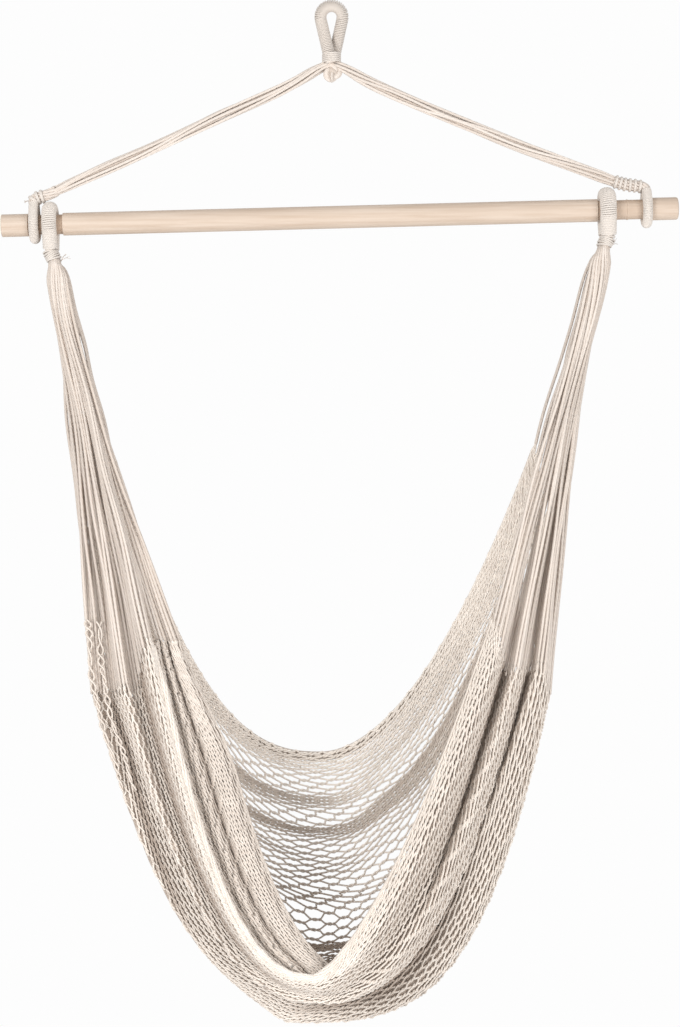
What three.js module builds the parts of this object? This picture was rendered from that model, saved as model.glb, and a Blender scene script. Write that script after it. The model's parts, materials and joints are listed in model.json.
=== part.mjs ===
// Hammock chair: an open cotton net hung by two fans of cords from a turned wooden bar,
// with a corded yoke and a whipped hanging loop above it.
// Millimetres, +Z up. The origin is the inside top of the hanging loop, where a hook bears.
// X runs along the bar and the seat opens towards -Y.

import * as THREE from "three";

const { clamp, degToRad, lerp, smoothstep } = THREE.MathUtils;

// Clearances
const seatGap = 0.35;
const bandGap = 1.2;
const panelGap = 0.7;

// Straight stub at each end of a bent rope, which squares the end off
const ropeStub = 3;

// Hanging loop, a rope bent into a teardrop whose legs cross and lie one behind the other
const loopCoreRadius = 5.8;
const loopHoleRadius = 6.45;
const loopLegSpread = 2;
const loopLegReach = 62.5;
const loopCrossShare = 0.8;
const throatLegSwell = 1;
const throatOvalMargin = 2.8;
const throatLength = 12;
const throatTaper = 3;
const loopWhipDiameter = 2.2;
const loopWhipTurns = 17;
const loopWhipOuter = loopCoreRadius + seatGap + loopWhipDiameter;
const loopBendRadius = loopHoleRadius + loopWhipOuter;
const loopLegOffset = loopWhipOuter + seatGap;
const throatLegRadius = loopCoreRadius + throatLegSwell;
const throatCordDiameter = 2.6;
const throatTurns = 3;
const throatPitch = 3.1;

// Knot under the loop, and the cord that slings it
const knotRadius = 11;
const knotOffset = 0.7;
const slingCordDiameter = 2.4;
const slingReach = degToRad(80);

// Spreader bar
const barLength = 900;
const barRadius = 15;
const barTilt = degToRad(1.48);
const barDrop = 273;
const barOffset = 11;
const neckRadius = 13;
const grooveChamfer = 1;
const barEdgeRadius = 3;
const leftEndLength = 35.5;
const rightEndLength = 35;
const leftGrooveLength = 46.5;
const rightGrooveLength = 72.5;
const collarInset = 33;
const collarHeight = 0.8;
const leftGrooveEdge = barLength / 2 - leftEndLength;
const rightGrooveEdge = barLength / 2 - rightEndLength;

// Chair eyes, the whipped rope loops that carry the seat
const chairEyeCoreRadius = 5.9;
const chairWhipDiameter = 2.4;
const chairWhipTurns = 15;
const chairLegDrop = 35;
const chairLegSpread = 19;
const leftEyeApart = 6.2;
const rightEyeApart = 37.4;

// Gathered necks under the chair eyes, and the cord wound round them
const clewNeckWidth = 16;
const clewNeckDepth = 27;
const clewNeckLength = 13;
const clewNeckLean = 5;
const neckStub = 2.2;
const neckCordDiameter = 2.6;
const neckTurns = 4;
const neckPitch = 3.15;

// Yoke eyes, the smaller loops outside the chair eyes
const yokeEyeRadius = 6;
const yokeLegSpread = 13;
const leftYokeRise = 28;
const rightYokeRise = 24;
const leftYokeEye = leftGrooveEdge - grooveChamfer - seatGap - yokeEyeRadius;
const rightYokeEye = rightGrooveEdge - grooveChamfer - seatGap - yokeEyeRadius;
const chairWhipOuter = chairEyeCoreRadius + seatGap + chairWhipDiameter;
const leftChairEye = leftYokeEye - yokeEyeRadius - leftEyeApart - chairWhipOuter;
const rightChairEye = rightYokeEye - yokeEyeRadius - rightEyeApart - chairWhipOuter;

// Yoke splices, from the eyes up to the ends of the yoke cords
const spliceRadius = 6.5;
const spliceStub = 1.5;
const spliceFootSwell = 0.5;
const spliceFootWidth = 2 * (yokeEyeRadius + spliceFootSwell);
const spliceFootDepth = yokeLegSpread + 1.5 * yokeEyeRadius;
const spliceTaperShare = 0.35;
const leftSplice = { run: 31, climb: 19 };
const rightSplice = { run: 42, climb: 14 };
const leftSpliceShares = [[0, 0], [0, 0.19], [0.07, 0.38], [0.24, 0.56], [0.63, 0.76], [1, 1]];
const rightSpliceShares = [[0, 0], [0, 0.2], [0.08, 0.36], [0.27, 0.49], [0.67, 0.68], [1, 1]];
const wrapCordDiameter = 2.4;
const leftWrap = { turns: 3, start: 0.42, pitch: 4.2 };
const rightWrap = { turns: 6, start: 0.22, pitch: 5.2 };

// Yoke cords
const yokeStrandCount = 4;
const yokeStrandDiameter = 5.6;
const yokeStrandGap = 2.3;
const yokeBundleRadius = (yokeStrandDiameter + yokeStrandGap) * Math.SQRT1_2;
const yokeTwist = degToRad(150);
const yokeLift = 5.5;
const leftYokeSag = 1;
const rightYokeSag = 5.5;

// Cut tails of the bindings
const tailDiameter = 2.6;

// Clew cords, from the gathered necks to the ends of the net
const clewCordCount = 12;
const clewCordDiameter = 3;
const clewRingWidth = clewNeckWidth - 1.2 * clewCordDiameter;
const clewRingDepth = clewNeckDepth - 1.7 * clewCordDiameter;
const clewFirstAngle = degToRad(60);
const clewAngleSpan = degToRad(300);
const clewBow = -4.5;
const clewEndGap = 1.5;
const clewInsetShare = 0.01;

// Net seat
const seatOffset = -12;
const seatHalfWidth = 310;
const seatDrop = 1080;
const seatHalfDepth = 150;
const seatForward = 22;
const netThickness = 5;
const selvedgeThickness = 8;
const frontRollDiameter = 8;
const rollInsetShare = 0.006;
const spacingShare = 0.5;

// Courses that guide the net from the back selvedge (first) to the front selvedge (last).
// Ends and low points are [across, down, back] shares of the seat's half width, drop and half depth.
const guideShares = [
  { place: 0.0, left: [-0.9, 0.29, 0.17], low: [-0.01, 0.67, 1.0],
    right: [0.91, 0.28, 0.17], power: [2.45, 1.85] },
  { place: 0.1, left: [-0.95, 0.32, 0.23], low: [-0.02, 0.705, 0.99],
    right: [0.94, 0.315, 0.23], power: [2.5, 1.9] },
  { place: 0.32, left: [-1.03, 0.405, 0.33], low: [-0.02, 0.82, 0.83],
    right: [0.99, 0.405, 0.33], power: [2.7, 2.3] },
  { place: 0.5, left: [-1.007, 0.507, 0.32], low: [0.024, 0.95, 0.4],
    right: [0.979, 0.554, 0.27], power: [2.65, 3.52] },
  { place: 0.6, left: [-0.99, 0.568, 0.17], low: [-0.131, 0.99, 0.07],
    right: [0.971, 0.588, 0.13], power: [1.52, 3.6] },
  { place: 0.68, left: [-0.98, 0.58, -0.03], low: [-0.027, 0.953, -0.23],
    right: [0.931, 0.55, -0.07], power: [2.7, 2.2] },
  { place: 0.75, left: [-0.9, 0.583, 0.03], low: [0.043, 0.949, -0.33],
    right: [0.885, 0.556, 0.08], power: [2.3, 2.35] },
  { place: 0.82, left: [-0.84, 0.574, -0.17], low: [0.03, 0.95, -0.57],
    right: [0.825, 0.55, -0.2], power: [2.6, 2.0] },
  { place: 0.88, left: [-0.79, 0.58, -0.03], low: [0.02, 0.94, -0.6],
    right: [0.785, 0.56, 0.0], power: [2.5, 1.75] },
  { place: 0.94, left: [-0.75, 0.52, -0.27], low: [-0.01, 0.925, -0.83],
    right: [0.755, 0.52, -0.27], power: [2.4, 1.55] },
  { place: 1.0, left: [-0.715, 0.52, -0.19], low: [-0.03, 0.915, -0.79],
    right: [0.725, 0.49, -0.19], power: [2.4, 1.45] },
];
const depthPower = 1.6;
const bandEdgeShare = 0.1;
const panelEdgeShare = 0.6;
const frontEdgeShare = 0.955;

// Open meshes of the back net, counted in half meshes
const netColumns = 40;
const netRows = 12;
const openColumns = [9, 31];
const openRows = [1, 10];
const meshOpenShare = { across: 0.82, down: 0.72 };

// Facets
const loopSteps = 26;
const eyeSteps = 18;
const spliceSteps = 10;
const yokeCordSteps = 8;
const clewCordSteps = 4;
const tailSteps = 3;
const barSides = 20;
const neckSides = 12;
const knotSides = { round: 14, down: 10 };
const bandCells = { columns: 40, rows: 2 };
const frontCells = { columns: 30, rows: 14 };
const rollSteps = 30;
const ropeSides = 8;
const cordSides = 6;
const windingSides = 4;
const windingSteps = 7;
const windingSwell = 1 / Math.cos(Math.PI / windingSteps);

const materials = {
  cotton: new THREE.MeshStandardMaterial({ color: 0xe3dad0, roughness: 0.95, metalness: 0 }),
  wood: new THREE.MeshStandardMaterial({ color: 0xe2c9b0, roughness: 0.6, metalness: 0 }),
};

const chair = new THREE.Group();
const barFrame = new THREE.Group();
barFrame.position.set(barOffset, 0, -barDrop);
barFrame.rotation.y = -barTilt;
chair.add(barFrame);
barFrame.updateMatrixWorld(true);

function addPiece(parent, name, geometry, material = materials.cotton) {
  const mesh = new THREE.Mesh(geometry, material);
  mesh.name = name;
  parent.add(mesh);
  return mesh;
}

// A closed solid from corner points and triangles, turned so that its faces point out
function solid(points, triangles) {
  let volume = 0;
  for (const [a, b, c] of triangles) {
    volume += points[a].dot(new THREE.Vector3().crossVectors(points[b], points[c]));
  }
  const index = triangles.flatMap(([a, b, c]) => (volume < 0 ? [a, c, b] : [a, b, c]));
  const geometry = new THREE.BufferGeometry();
  geometry.setAttribute("position", new THREE.Float32BufferAttribute(points.flatMap((p) => p.toArray()), 3));
  geometry.setIndex(index);
  geometry.computeVertexNormals();
  return geometry;
}

// A solid tube along points. halfSizes(share) gives its half size across the path's plane and along `side`.
// `level` keeps every section square to one direction.
function sweep(points, halfSizes, sides, side, level) {
  const last = points.length - 1;
  const corners = [];
  const triangles = [];
  let across = side.clone();
  points.forEach((point, i) => {
    const ahead = points[Math.min(i + 1, last)].clone().sub(points[Math.max(i - 1, 0)]);
    const tangent = (level ?? ahead).clone().normalize();
    across = across.clone().addScaledVector(tangent, -across.dot(tangent)).normalize();
    const up = new THREE.Vector3().crossVectors(tangent, across);
    const [upSize, acrossSize] = halfSizes(i / last);
    for (let k = 0; k < sides; k++) {
      const angle = (2 * Math.PI * k) / sides;
      const corner = point.clone().addScaledVector(across, acrossSize * Math.cos(angle));
      corners.push(corner.addScaledVector(up, upSize * Math.sin(angle)));
    }
  });
  for (let i = 0; i < last; i++) {
    for (let k = 0; k < sides; k++) {
      const a = i * sides + k;
      const b = i * sides + ((k + 1) % sides);
      triangles.push([a, b, b + sides], [a, b + sides, a + sides]);
    }
  }
  for (let k = 1; k < sides - 1; k++) {
    triangles.push([0, k + 1, k], [last * sides, last * sides + k, last * sides + k + 1]);
  }
  return solid(corners, triangles);
}

// A round cord along a smooth curve through points
function cordAlong(points, diameter, steps, sides = cordSides) {
  const corners = Array.from({ length: sides }, (_, k) => {
    const angle = (2 * Math.PI * k) / sides;
    return new THREE.Vector2(Math.cos(angle), Math.sin(angle)).multiplyScalar(diameter / 2);
  });
  const extrudePath = new THREE.CatmullRomCurve3(points);
  return new THREE.ExtrudeGeometry(new THREE.Shape(corners), { steps, bevelEnabled: false, extrudePath });
}

// A cord wound round a core, whose centre, two directions across and half sizes frameAt(share) gives
function winding(name, frameAt, turns, diameter) {
  const steps = turns * windingSteps;
  const at = (share) => {
    const { centre, first, second, firstSize, secondSize } = frameAt(share);
    const angle = 2 * Math.PI * turns * share;
    const out = seatGap + diameter / 2;
    const point = centre.clone().addScaledVector(first, windingSwell * (firstSize + out) * Math.cos(angle));
    return point.addScaledVector(second, windingSwell * (secondSize + out) * Math.sin(angle));
  };
  const points = Array.from({ length: steps + 1 }, (_, i) => at(i / steps));
  const nudgeShare = 0.05 / steps;
  const startWay = at(0).sub(at(nudgeShare)).setLength(diameter);
  const endWay = at(1).sub(at(1 - nudgeShare)).setLength(diameter);
  points.unshift(points[0].clone().add(startWay));
  points.push(points[steps + 1].clone().add(endWay));
  console.log(`${name}: ${turns} turns, least gap to itself ${leastGap(points, diameter).toFixed(2)} mm`);
  const side = frameAt(0).first.clone().add(frameAt(0).second);
  return sweep(points, () => [diameter / 2, diameter / 2], windingSides, side);
}

// Distance from a core's middle line to the outside of a cord wound round it
function windingReach(size, diameter) {
  return (size + seatGap + diameter / 2) * windingSwell + diameter / 2;
}

// Least clear distance between turns of a wound cord, on points along its middle line
function leastGap(points, diameter) {
  const samples = [];
  for (let i = 0; i < points.length - 1; i++) {
    for (const share of [0, 0.25, 0.5, 0.75]) samples.push(points[i].clone().lerp(points[i + 1], share));
  }
  const apart = windingSteps * 4 * 0.6;
  let least = Infinity;
  for (let i = 0; i < samples.length; i++) {
    for (let j = i + Math.ceil(apart); j < samples.length; j++) {
      least = Math.min(least, samples[i].distanceTo(samples[j]));
    }
  }
  return least - diameter;
}

// Middle line of a rope bent into a teardrop in the plane of `across` and `up`,
// measured from one leg end to the other
function teardrop(centre, across, up, bend, spread, reach) {
  const half = spread / 2;
  const lap = Math.atan2(reach, half) - Math.acos(bend / Math.hypot(half, reach));
  const leg = (reach - bend * Math.sin(lap)) / Math.cos(lap);
  const arc = bend * (Math.PI + 2 * lap);
  const length = 2 * leg + arc;
  const place = (p, q) => centre.clone().addScaledVector(across, p).addScaledVector(up, q);
  const way = (p, q) => new THREE.Vector3().addScaledVector(across, p).addScaledVector(up, q);
  const at = (distance) => {
    const side = distance < length / 2 ? -1 : 1;
    const fromEnd = Math.min(distance, length - distance);
    if (fromEnd < leg) {
      const share = fromEnd / leg;
      const p = side * lerp(half, bend * Math.cos(lap), share);
      const q = lerp(-reach, -bend * Math.sin(lap), share);
      const out = way(side * Math.cos(lap), -Math.sin(lap));
      return { centre: place(p, q), out, legShare: 1 - share, side };
    }
    const angle = -lap + (fromEnd - leg) / bend;
    const out = way(side * Math.cos(angle), Math.sin(angle));
    return { centre: centre.clone().addScaledVector(out, bend), out, legShare: 0, side };
  };
  return { at, length, leg };
}

// Points along a bent rope, with a straight stub past each end
function ropeLine(centreAt, length, steps, stubWay) {
  const points = Array.from({ length: steps + 1 }, (_, i) => centreAt((length * i) / steps));
  const stub = stubWay.clone().multiplyScalar(ropeStub);
  return [points[0].clone().add(stub), ...points, points[steps].clone().add(stub)];
}

const axisX = new THREE.Vector3(1, 0, 0);
const axisY = new THREE.Vector3(0, 1, 0);
const axisZ = new THREE.Vector3(0, 0, 1);
const down = new THREE.Vector3(0, 0, -1);

// Hanging loop with its whipping and throat seizing
const loopCentre = new THREE.Vector3(0, 0, loopWhipOuter - loopBendRadius);
const throatBottom = loopCentre.z - loopLegReach;
const knotCentre = new THREE.Vector3(knotOffset, 0, throatBottom - seatGap - knotRadius);

function makeHangingLoop() {
  const rope = teardrop(loopCentre, axisX, axisZ, loopBendRadius, loopLegSpread, loopLegReach - ropeStub);
  const crossed = (distance) => {
    const frame = rope.at(distance);
    const shift = frame.side * loopLegOffset * smoothstep(frame.legShare, 0, loopCrossShare);
    return { ...frame, centre: frame.centre.clone().addScaledVector(axisY, shift) };
  };
  const points = ropeLine((distance) => crossed(distance).centre, rope.length, loopSteps, down);
  const throatShare = throatLength / rope.length;
  const taperShare = throatTaper / rope.length;
  const radiusAt = (share) => {
    const fromEnd = Math.min(share, 1 - share);
    return lerp(throatLegRadius, loopCoreRadius, smoothstep(fromEnd, throatShare, throatShare + taperShare));
  };
  const core = sweep(points, (share) => [radiusAt(share), radiusAt(share)], ropeSides, axisY);
  addPiece(chair, "hanging_loop", core);

  const bare = throatLength + throatTaper + loopWhipDiameter - ropeStub;
  const whipFrame = (share) => {
    const { centre, out } = crossed(lerp(bare, rope.length - bare, share));
    return {
      centre, first: out, second: axisY, firstSize: loopCoreRadius, secondSize: loopCoreRadius,
    };
  };
  addPiece(chair, "loop_whipping", winding("loop_whipping", whipFrame, loopWhipTurns, loopWhipDiameter));

  const seizingLength = throatTurns * throatPitch;
  const seizingFrame = (share) => ({
    centre: new THREE.Vector3(0, 0, throatBottom + throatCordDiameter / 2 + seizingLength * (1 - share)),
    first: axisX,
    second: axisY,
    firstSize: throatLegRadius + loopLegSpread / 2 + throatOvalMargin,
    secondSize: throatLegRadius + loopLegOffset + throatOvalMargin / 2,
  });
  addPiece(chair, "throat_seizing", winding("throat_seizing", seizingFrame, throatTurns, throatCordDiameter));
}

// Knot and the cord passed under it
function makeKnot() {
  const ball = new THREE.SphereGeometry(knotRadius, knotSides.round, knotSides.down);
  const knot = addPiece(chair, "yoke_knot", ball);
  knot.position.copy(knotCentre);
  const slingRadius = knotRadius + seatGap + slingCordDiameter / 2;
  const slingSteps = 10;
  const points = Array.from({ length: slingSteps + 1 }, (_, i) => {
    const angle = lerp(-slingReach, slingReach, i / slingSteps);
    const out = new THREE.Vector3(0, Math.sin(angle), -Math.cos(angle));
    return knotCentre.clone().addScaledVector(out, slingRadius);
  });
  const half = slingCordDiameter / 2;
  addPiece(chair, "knot_sling", sweep(points, () => [half, half], cordSides, axisX));
}

// Turned bar with a groove near each end and a small collar in the right one
function makeBar() {
  const half = barLength / 2;
  const leftInner = leftGrooveEdge - leftGrooveLength;
  const rightInner = rightGrooveEdge - rightGrooveLength;
  const collar = rightGrooveEdge - collarInset;
  const edge = Array.from({ length: 4 }, (_, i) => {
    const angle = (Math.PI / 2) * (1 - i / 3);
    const radius = barRadius - barEdgeRadius + barEdgeRadius * Math.sin(angle);
    return [half - barEdgeRadius + barEdgeRadius * Math.cos(angle), radius];
  });
  const profile = [
    [-half, 0],
    [-half, barRadius],
    [-leftGrooveEdge, barRadius],
    [-leftGrooveEdge + grooveChamfer, neckRadius],
    [-leftInner - grooveChamfer, neckRadius],
    [-leftInner, barRadius],
    [rightInner, barRadius],
    [rightInner + grooveChamfer, neckRadius],
    [collar - grooveChamfer, neckRadius],
    [collar, neckRadius + collarHeight],
    [collar + 2 * grooveChamfer, neckRadius],
    [rightGrooveEdge - grooveChamfer, neckRadius],
    [rightGrooveEdge, barRadius],
    ...edge,
    [half, 0],
  ];
  const outline = profile.map(([along, radius]) => new THREE.Vector2(radius, along));
  const bar = addPiece(barFrame, "spreader_bar", new THREE.LatheGeometry(outline, barSides), materials.wood);
  bar.rotation.z = -Math.PI / 2;
}

// Chair eye hanging over the bar, its whipping, the gathered neck under it and the neck's seizing
function makeChairEye(label, side, place) {
  const bend = neckRadius + seatGap + chairWhipOuter;
  const centre = new THREE.Vector3(side * place, 0, 0);
  const rope = teardrop(centre, axisY, axisZ, bend, chairLegSpread, chairLegDrop - ropeStub);
  const points = ropeLine((distance) => rope.at(distance).centre, rope.length, eyeSteps, down);
  const size = () => [chairEyeCoreRadius, chairEyeCoreRadius];
  addPiece(barFrame, `chair_eye_${label}`, sweep(points, size, ropeSides, axisX));

  const bare = neckCordDiameter;
  const whipFrame = (share) => {
    const frame = rope.at(lerp(bare, rope.length - bare, share));
    return { centre: frame.centre, first: frame.out, second: axisX,
      firstSize: chairEyeCoreRadius, secondSize: chairEyeCoreRadius };
  };
  const whipName = `chair_eye_whipping_${label}`;
  addPiece(barFrame, whipName, winding(whipName, whipFrame, chairWhipTurns, chairWhipDiameter));

  const neck = neckLine(side, place);
  const neckSize = () => [clewNeckDepth / 2, clewNeckWidth / 2];
  const corners = [0, neckStub, clewNeckLength - neckStub, clewNeckLength];
  const line = corners.map((depth) => neck.centreAt(depth / clewNeckLength));
  addPiece(barFrame, `clew_neck_${label}`, sweep(line, neckSize, neckSides, axisX, down));

  const seizingStart = (clewNeckLength - neckTurns * neckPitch) / 2;
  const leanSwell = Math.hypot(1, clewNeckLean / (clewNeckLength - 2 * neckStub));
  const seizingFrame = (share) => ({
    centre: neck.centreAt((seizingStart + neckTurns * neckPitch * share) / clewNeckLength),
    first: axisX,
    second: axisY,
    firstSize: (leanSwell * clewNeckWidth) / 2,
    secondSize: clewNeckDepth / 2,
  });
  const seizingName = `neck_seizing_${label}`;
  addPiece(barFrame, seizingName, winding(seizingName, seizingFrame, neckTurns, neckCordDiameter));
}

// Middle line of a gathered neck, in the bar's frame; it leans inwards, towards the seat
function neckLine(side, place) {
  const top = new THREE.Vector3(side * place, 0, -chairLegDrop - seatGap);
  const bottom = new THREE.Vector3(side * (place - clewNeckLean), 0, top.z - clewNeckLength);
  const centreAt = (share) => {
    const lean = clamp((share * clewNeckLength - neckStub) / (clewNeckLength - 2 * neckStub), 0, 1);
    return new THREE.Vector3(lerp(top.x, bottom.x, lean), 0, lerp(top.z, bottom.z, share));
  };
  return { top, bottom, centreAt };
}

// Yoke eye round the bar's neck, and the splice that joins it to the yoke cords
function makeYokeEye(label, side, place, rise, route, wrap) {
  const bend = neckRadius + seatGap + yokeEyeRadius;
  const centre = new THREE.Vector3(side * place, 0, 0);
  const rope = teardrop(centre, axisY, down, bend, yokeLegSpread, rise - ropeStub);
  const points = ropeLine((distance) => rope.at(distance).centre, rope.length, eyeSteps, axisZ);
  const eyeSize = () => [yokeEyeRadius, yokeEyeRadius];
  addPiece(barFrame, `yoke_eye_${label}`, sweep(points, eyeSize, ropeSides, axisX));

  const curve = new THREE.CatmullRomCurve3(route);
  const sizeAt = (share) => {
    const taper = smoothstep(share, 0, spliceTaperShare);
    return [lerp(spliceFootWidth / 2, spliceRadius, taper), lerp(spliceFootDepth / 2, spliceRadius, taper)];
  };
  const line = curve.getSpacedPoints(spliceSteps);
  line.splice(1, 0, route[0].clone().addScaledVector(axisZ, spliceStub));
  addPiece(barFrame, `yoke_splice_${label}`, sweep(line, sizeAt, ropeSides, axisY));

  const length = curve.getLength();
  const wrapFrame = (share) => {
    const along = wrap.start + (wrap.turns * wrap.pitch * share) / length;
    const tangent = curve.getTangentAt(along);
    const [firstSize, secondSize] = sizeAt(along);
    return { centre: curve.getPointAt(along), first: new THREE.Vector3().crossVectors(axisY, tangent),
      second: axisY, firstSize, secondSize };
  };
  const wrapName = `yoke_wrap_${label}`;
  addPiece(barFrame, wrapName, winding(wrapName, wrapFrame, wrap.turns, wrapCordDiameter));
}

// Route of a splice in the bar's frame, from above the eye to where the yoke cords start
function spliceRoute(side, place, rise, { run, climb }, shares) {
  return shares.map(([inwardShare, climbShare]) => new THREE.Vector3(
    side * (place - run * inwardShare),
    0,
    rise + seatGap + climb * climbShare,
  ));
}

// Yoke cords from the knot to a splice, lying round each other with a slow twist.
// The leg leaves the knot above its middle, and each cord starts where it meets the knot.
function makeYokeLeg(label, route, sag) {
  const end = barFrame.localToWorld(route.at(-1).clone());
  const way = end.clone().sub(knotCentre).normalize();
  const up = new THREE.Vector3().crossVectors(axisY, way);
  up.multiplyScalar(Math.sign(up.z));
  const foot = knotCentre.clone().addScaledVector(up, yokeLift);
  way.subVectors(end, foot).normalize();
  end.addScaledVector(way, -2 * seatGap);
  const routeSteps = 6;
  for (let strand = 0; strand < yokeStrandCount; strand++) {
    const outAt = (share) => {
      const angle = (2 * Math.PI * (strand + 0.5)) / yokeStrandCount + yokeTwist * share;
      const out = axisY.clone().multiplyScalar(yokeBundleRadius * Math.cos(angle));
      return out.addScaledVector(up, yokeBundleRadius * Math.sin(angle));
    };
    const apart = outAt(0).addScaledVector(up, yokeLift).length() - yokeStrandDiameter / 2;
    const start = foot.clone().addScaledVector(way, Math.sqrt((knotRadius + 2 * seatGap) ** 2 - apart ** 2));
    const points = Array.from({ length: routeSteps + 1 }, (_, i) => {
      const share = i / routeSteps;
      const point = start.clone().lerp(end, share).add(outAt(share));
      return point.addScaledVector(axisZ, -sag * Math.sin(Math.PI * share));
    });
    addPiece(chair, `yoke_cord_${label}_${strand + 1}`, cordAlong(points, yokeStrandDiameter, yokeCordSteps));
  }
}

// Short cut ends left on the bindings
function makeTails() {
  const leanSwell = Math.hypot(1, clewNeckLean / (clewNeckLength - 2 * neckStub));
  const windingOut = windingReach((leanSwell * clewNeckWidth) / 2, neckCordDiameter);
  const neckOut = windingOut + seatGap + tailDiameter / 2;
  for (const [label, side, place] of [["left", -1, leftChairEye], ["right", 1, rightChairEye]]) {
    const neck = neckLine(side, place).bottom;
    const foot = new THREE.Vector3(neck.x + neckOut, 0, neck.z);
    const points = [
      foot,
      foot.clone().add(new THREE.Vector3(tailDiameter, 0, 2 * tailDiameter)),
      foot.clone().add(new THREE.Vector3(3 * tailDiameter, 0, 4.5 * tailDiameter)),
    ];
    addPiece(barFrame, `neck_tail_${label}`, cordAlong(points, tailDiameter, tailSteps));
  }
  const yokeOut = spliceFootWidth / 2 - seatGap + tailDiameter / 2;
  const foot = new THREE.Vector3(-leftYokeEye - yokeOut, 0, leftYokeRise + tailDiameter);
  const points = [
    foot,
    foot.clone().add(new THREE.Vector3(-tailDiameter, 0, -tailDiameter / 2)),
    foot.clone().add(new THREE.Vector3(-2 * tailDiameter, 0, -1.5 * tailDiameter)),
  ];
  addPiece(barFrame, "yoke_tail_left", cordAlong(points, tailDiameter, tailSteps));
}

// Guide course at a place across the net, by a smooth curve through the guides
function guideAt(place) {
  const rows = guideShares.map((g) => [g.place, ...g.left, ...g.low, ...g.right, ...g.power]);
  const last = rows.length - 1;
  let i = rows.findIndex((row) => row[0] >= place) - 1;
  i = Math.max(0, Math.min(i < 0 ? (place <= 0 ? 0 : last - 1) : i, last - 1));
  const slope = (k, column) => {
    const before = rows[Math.max(k - 1, 0)];
    const after = rows[Math.min(k + 1, last)];
    return (after[column] - before[column]) / (after[0] - before[0]);
  };
  const span = rows[i + 1][0] - rows[i][0];
  const t = (place - rows[i][0]) / span;
  const values = rows[i].map((_, column) => {
    const a = rows[i][column];
    const b = rows[i + 1][column];
    const da = slope(i, column) * span;
    const db = slope(i + 1, column) * span;
    return a * (2 * t ** 3 - 3 * t ** 2 + 1) + da * (t ** 3 - 2 * t ** 2 + t)
      + b * (3 * t ** 2 - 2 * t ** 3) + db * (t ** 3 - t ** 2);
  });
  const [left, low, right] = [1, 4, 7].map((first) => values.slice(first, first + 3));
  return { left, low, right, power: values.slice(10) };
}

// Point of the net: `along` runs from the left end to the right end,
// and `place` from the back to the front selvedge
function netPoint(along, place) {
  const guide = guideAt(place);
  const signed = lerp(1 - 2 * along, Math.cos(Math.PI * along), spacingShare);
  const reach = Math.abs(signed);
  const end = signed > 0 ? guide.left : guide.right;
  const power = signed > 0 ? guide.power[0] : guide.power[1];
  return new THREE.Vector3(
    seatOffset + seatHalfWidth * lerp(guide.low[0], end[0], reach),
    seatHalfDepth * lerp(guide.low[2], end[2], reach ** depthPower) - seatForward,
    -barDrop - seatDrop * lerp(guide.low[1], end[1], reach ** power),
  );
}

function netNormal(along, place) {
  const step = 1e-3;
  const alongWay = netPoint(Math.min(along + step, 1), place).sub(netPoint(Math.max(along - step, 0), place));
  const placeWay = netPoint(along, Math.min(place + step, 1)).sub(netPoint(along, Math.max(place - step, 0)));
  return alongWay.cross(placeWay).normalize();
}

// A shell of the net's surface from flat [along, place] points and triangles, with a wall round every edge
function shell(flat, triangles, thickness) {
  const offset = (out) => flat.map(([along, place]) => {
    return netPoint(along, place).addScaledVector(netNormal(along, place), out);
  });
  const inner = offset(-thickness / 2);
  const outer = offset(thickness / 2);
  const count = flat.length;
  const edges = new Set(triangles.flatMap(([a, b, c]) => [`${a},${b}`, `${b},${c}`, `${c},${a}`]));
  const faces = triangles.flatMap(([a, b, c]) => [[a + count, b + count, c + count], [a, c, b]]);
  for (const edge of edges) {
    const [a, b] = edge.split(",").map(Number);
    if (!edges.has(`${b},${a}`)) faces.push([a, b, b + count], [a, b + count, a + count]);
  }
  return solid([...inner, ...outer], faces);
}

// A plain stretch of the net between two places
function gridPanel(from, to, { columns, rows }, thickness) {
  const flat = [];
  const triangles = [];
  for (let j = 0; j <= rows; j++) {
    for (let i = 0; i <= columns; i++) flat.push([i / columns, lerp(from, to, j / rows)]);
  }
  for (let j = 0; j < rows; j++) {
    for (let i = 0; i < columns; i++) {
      const a = j * (columns + 1) + i;
      const c = a + columns + 1;
      triangles.push([a, a + 1, c + 1], [a, c + 1, c]);
    }
  }
  return shell(flat, triangles, thickness);
}

// The back net: diamonds between half-mesh points, each with an opening where the net hangs open
function openPanel(from, to, thickness) {
  const flat = [];
  const triangles = [];
  const known = new Map();
  const vertex = (i, j) => {
    const key = `${i},${j}`;
    if (!known.has(key)) {
      known.set(key, flat.length);
      flat.push([i / netColumns, lerp(from, to, j / netRows)]);
    }
    return known.get(key);
  };
  const inside = (i, j) => i >= 0 && i <= netColumns && j >= 0 && j <= netRows;
  for (let j = 0; j <= netRows; j++) {
    for (let i = 0; i <= netColumns; i++) {
      if ((i + j) % 2 === 0) continue;
      const around = [[i - 1, j], [i, j - 1], [i + 1, j], [i, j + 1]].filter(([p, q]) => inside(p, q));
      const corners = around.map(([p, q]) => vertex(p, q));
      if (corners.length === 3) {
        triangles.push(corners);
        continue;
      }
      const open = i >= openColumns[0] && i <= openColumns[1] && j >= openRows[0] && j <= openRows[1];
      if (!open) {
        triangles.push([corners[0], corners[1], corners[2]], [corners[0], corners[2], corners[3]]);
        continue;
      }
      const hole = around.map(([p, q]) => {
        return vertex(lerp(i, p, meshOpenShare.across), lerp(j, q, meshOpenShare.down));
      });
      for (let k = 0; k < 4; k++) {
        const next = (k + 1) % 4;
        triangles.push([corners[k], corners[next], hole[next]], [corners[k], hole[next], hole[k]]);
      }
    }
  }
  return shell(flat, triangles, thickness);
}

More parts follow.
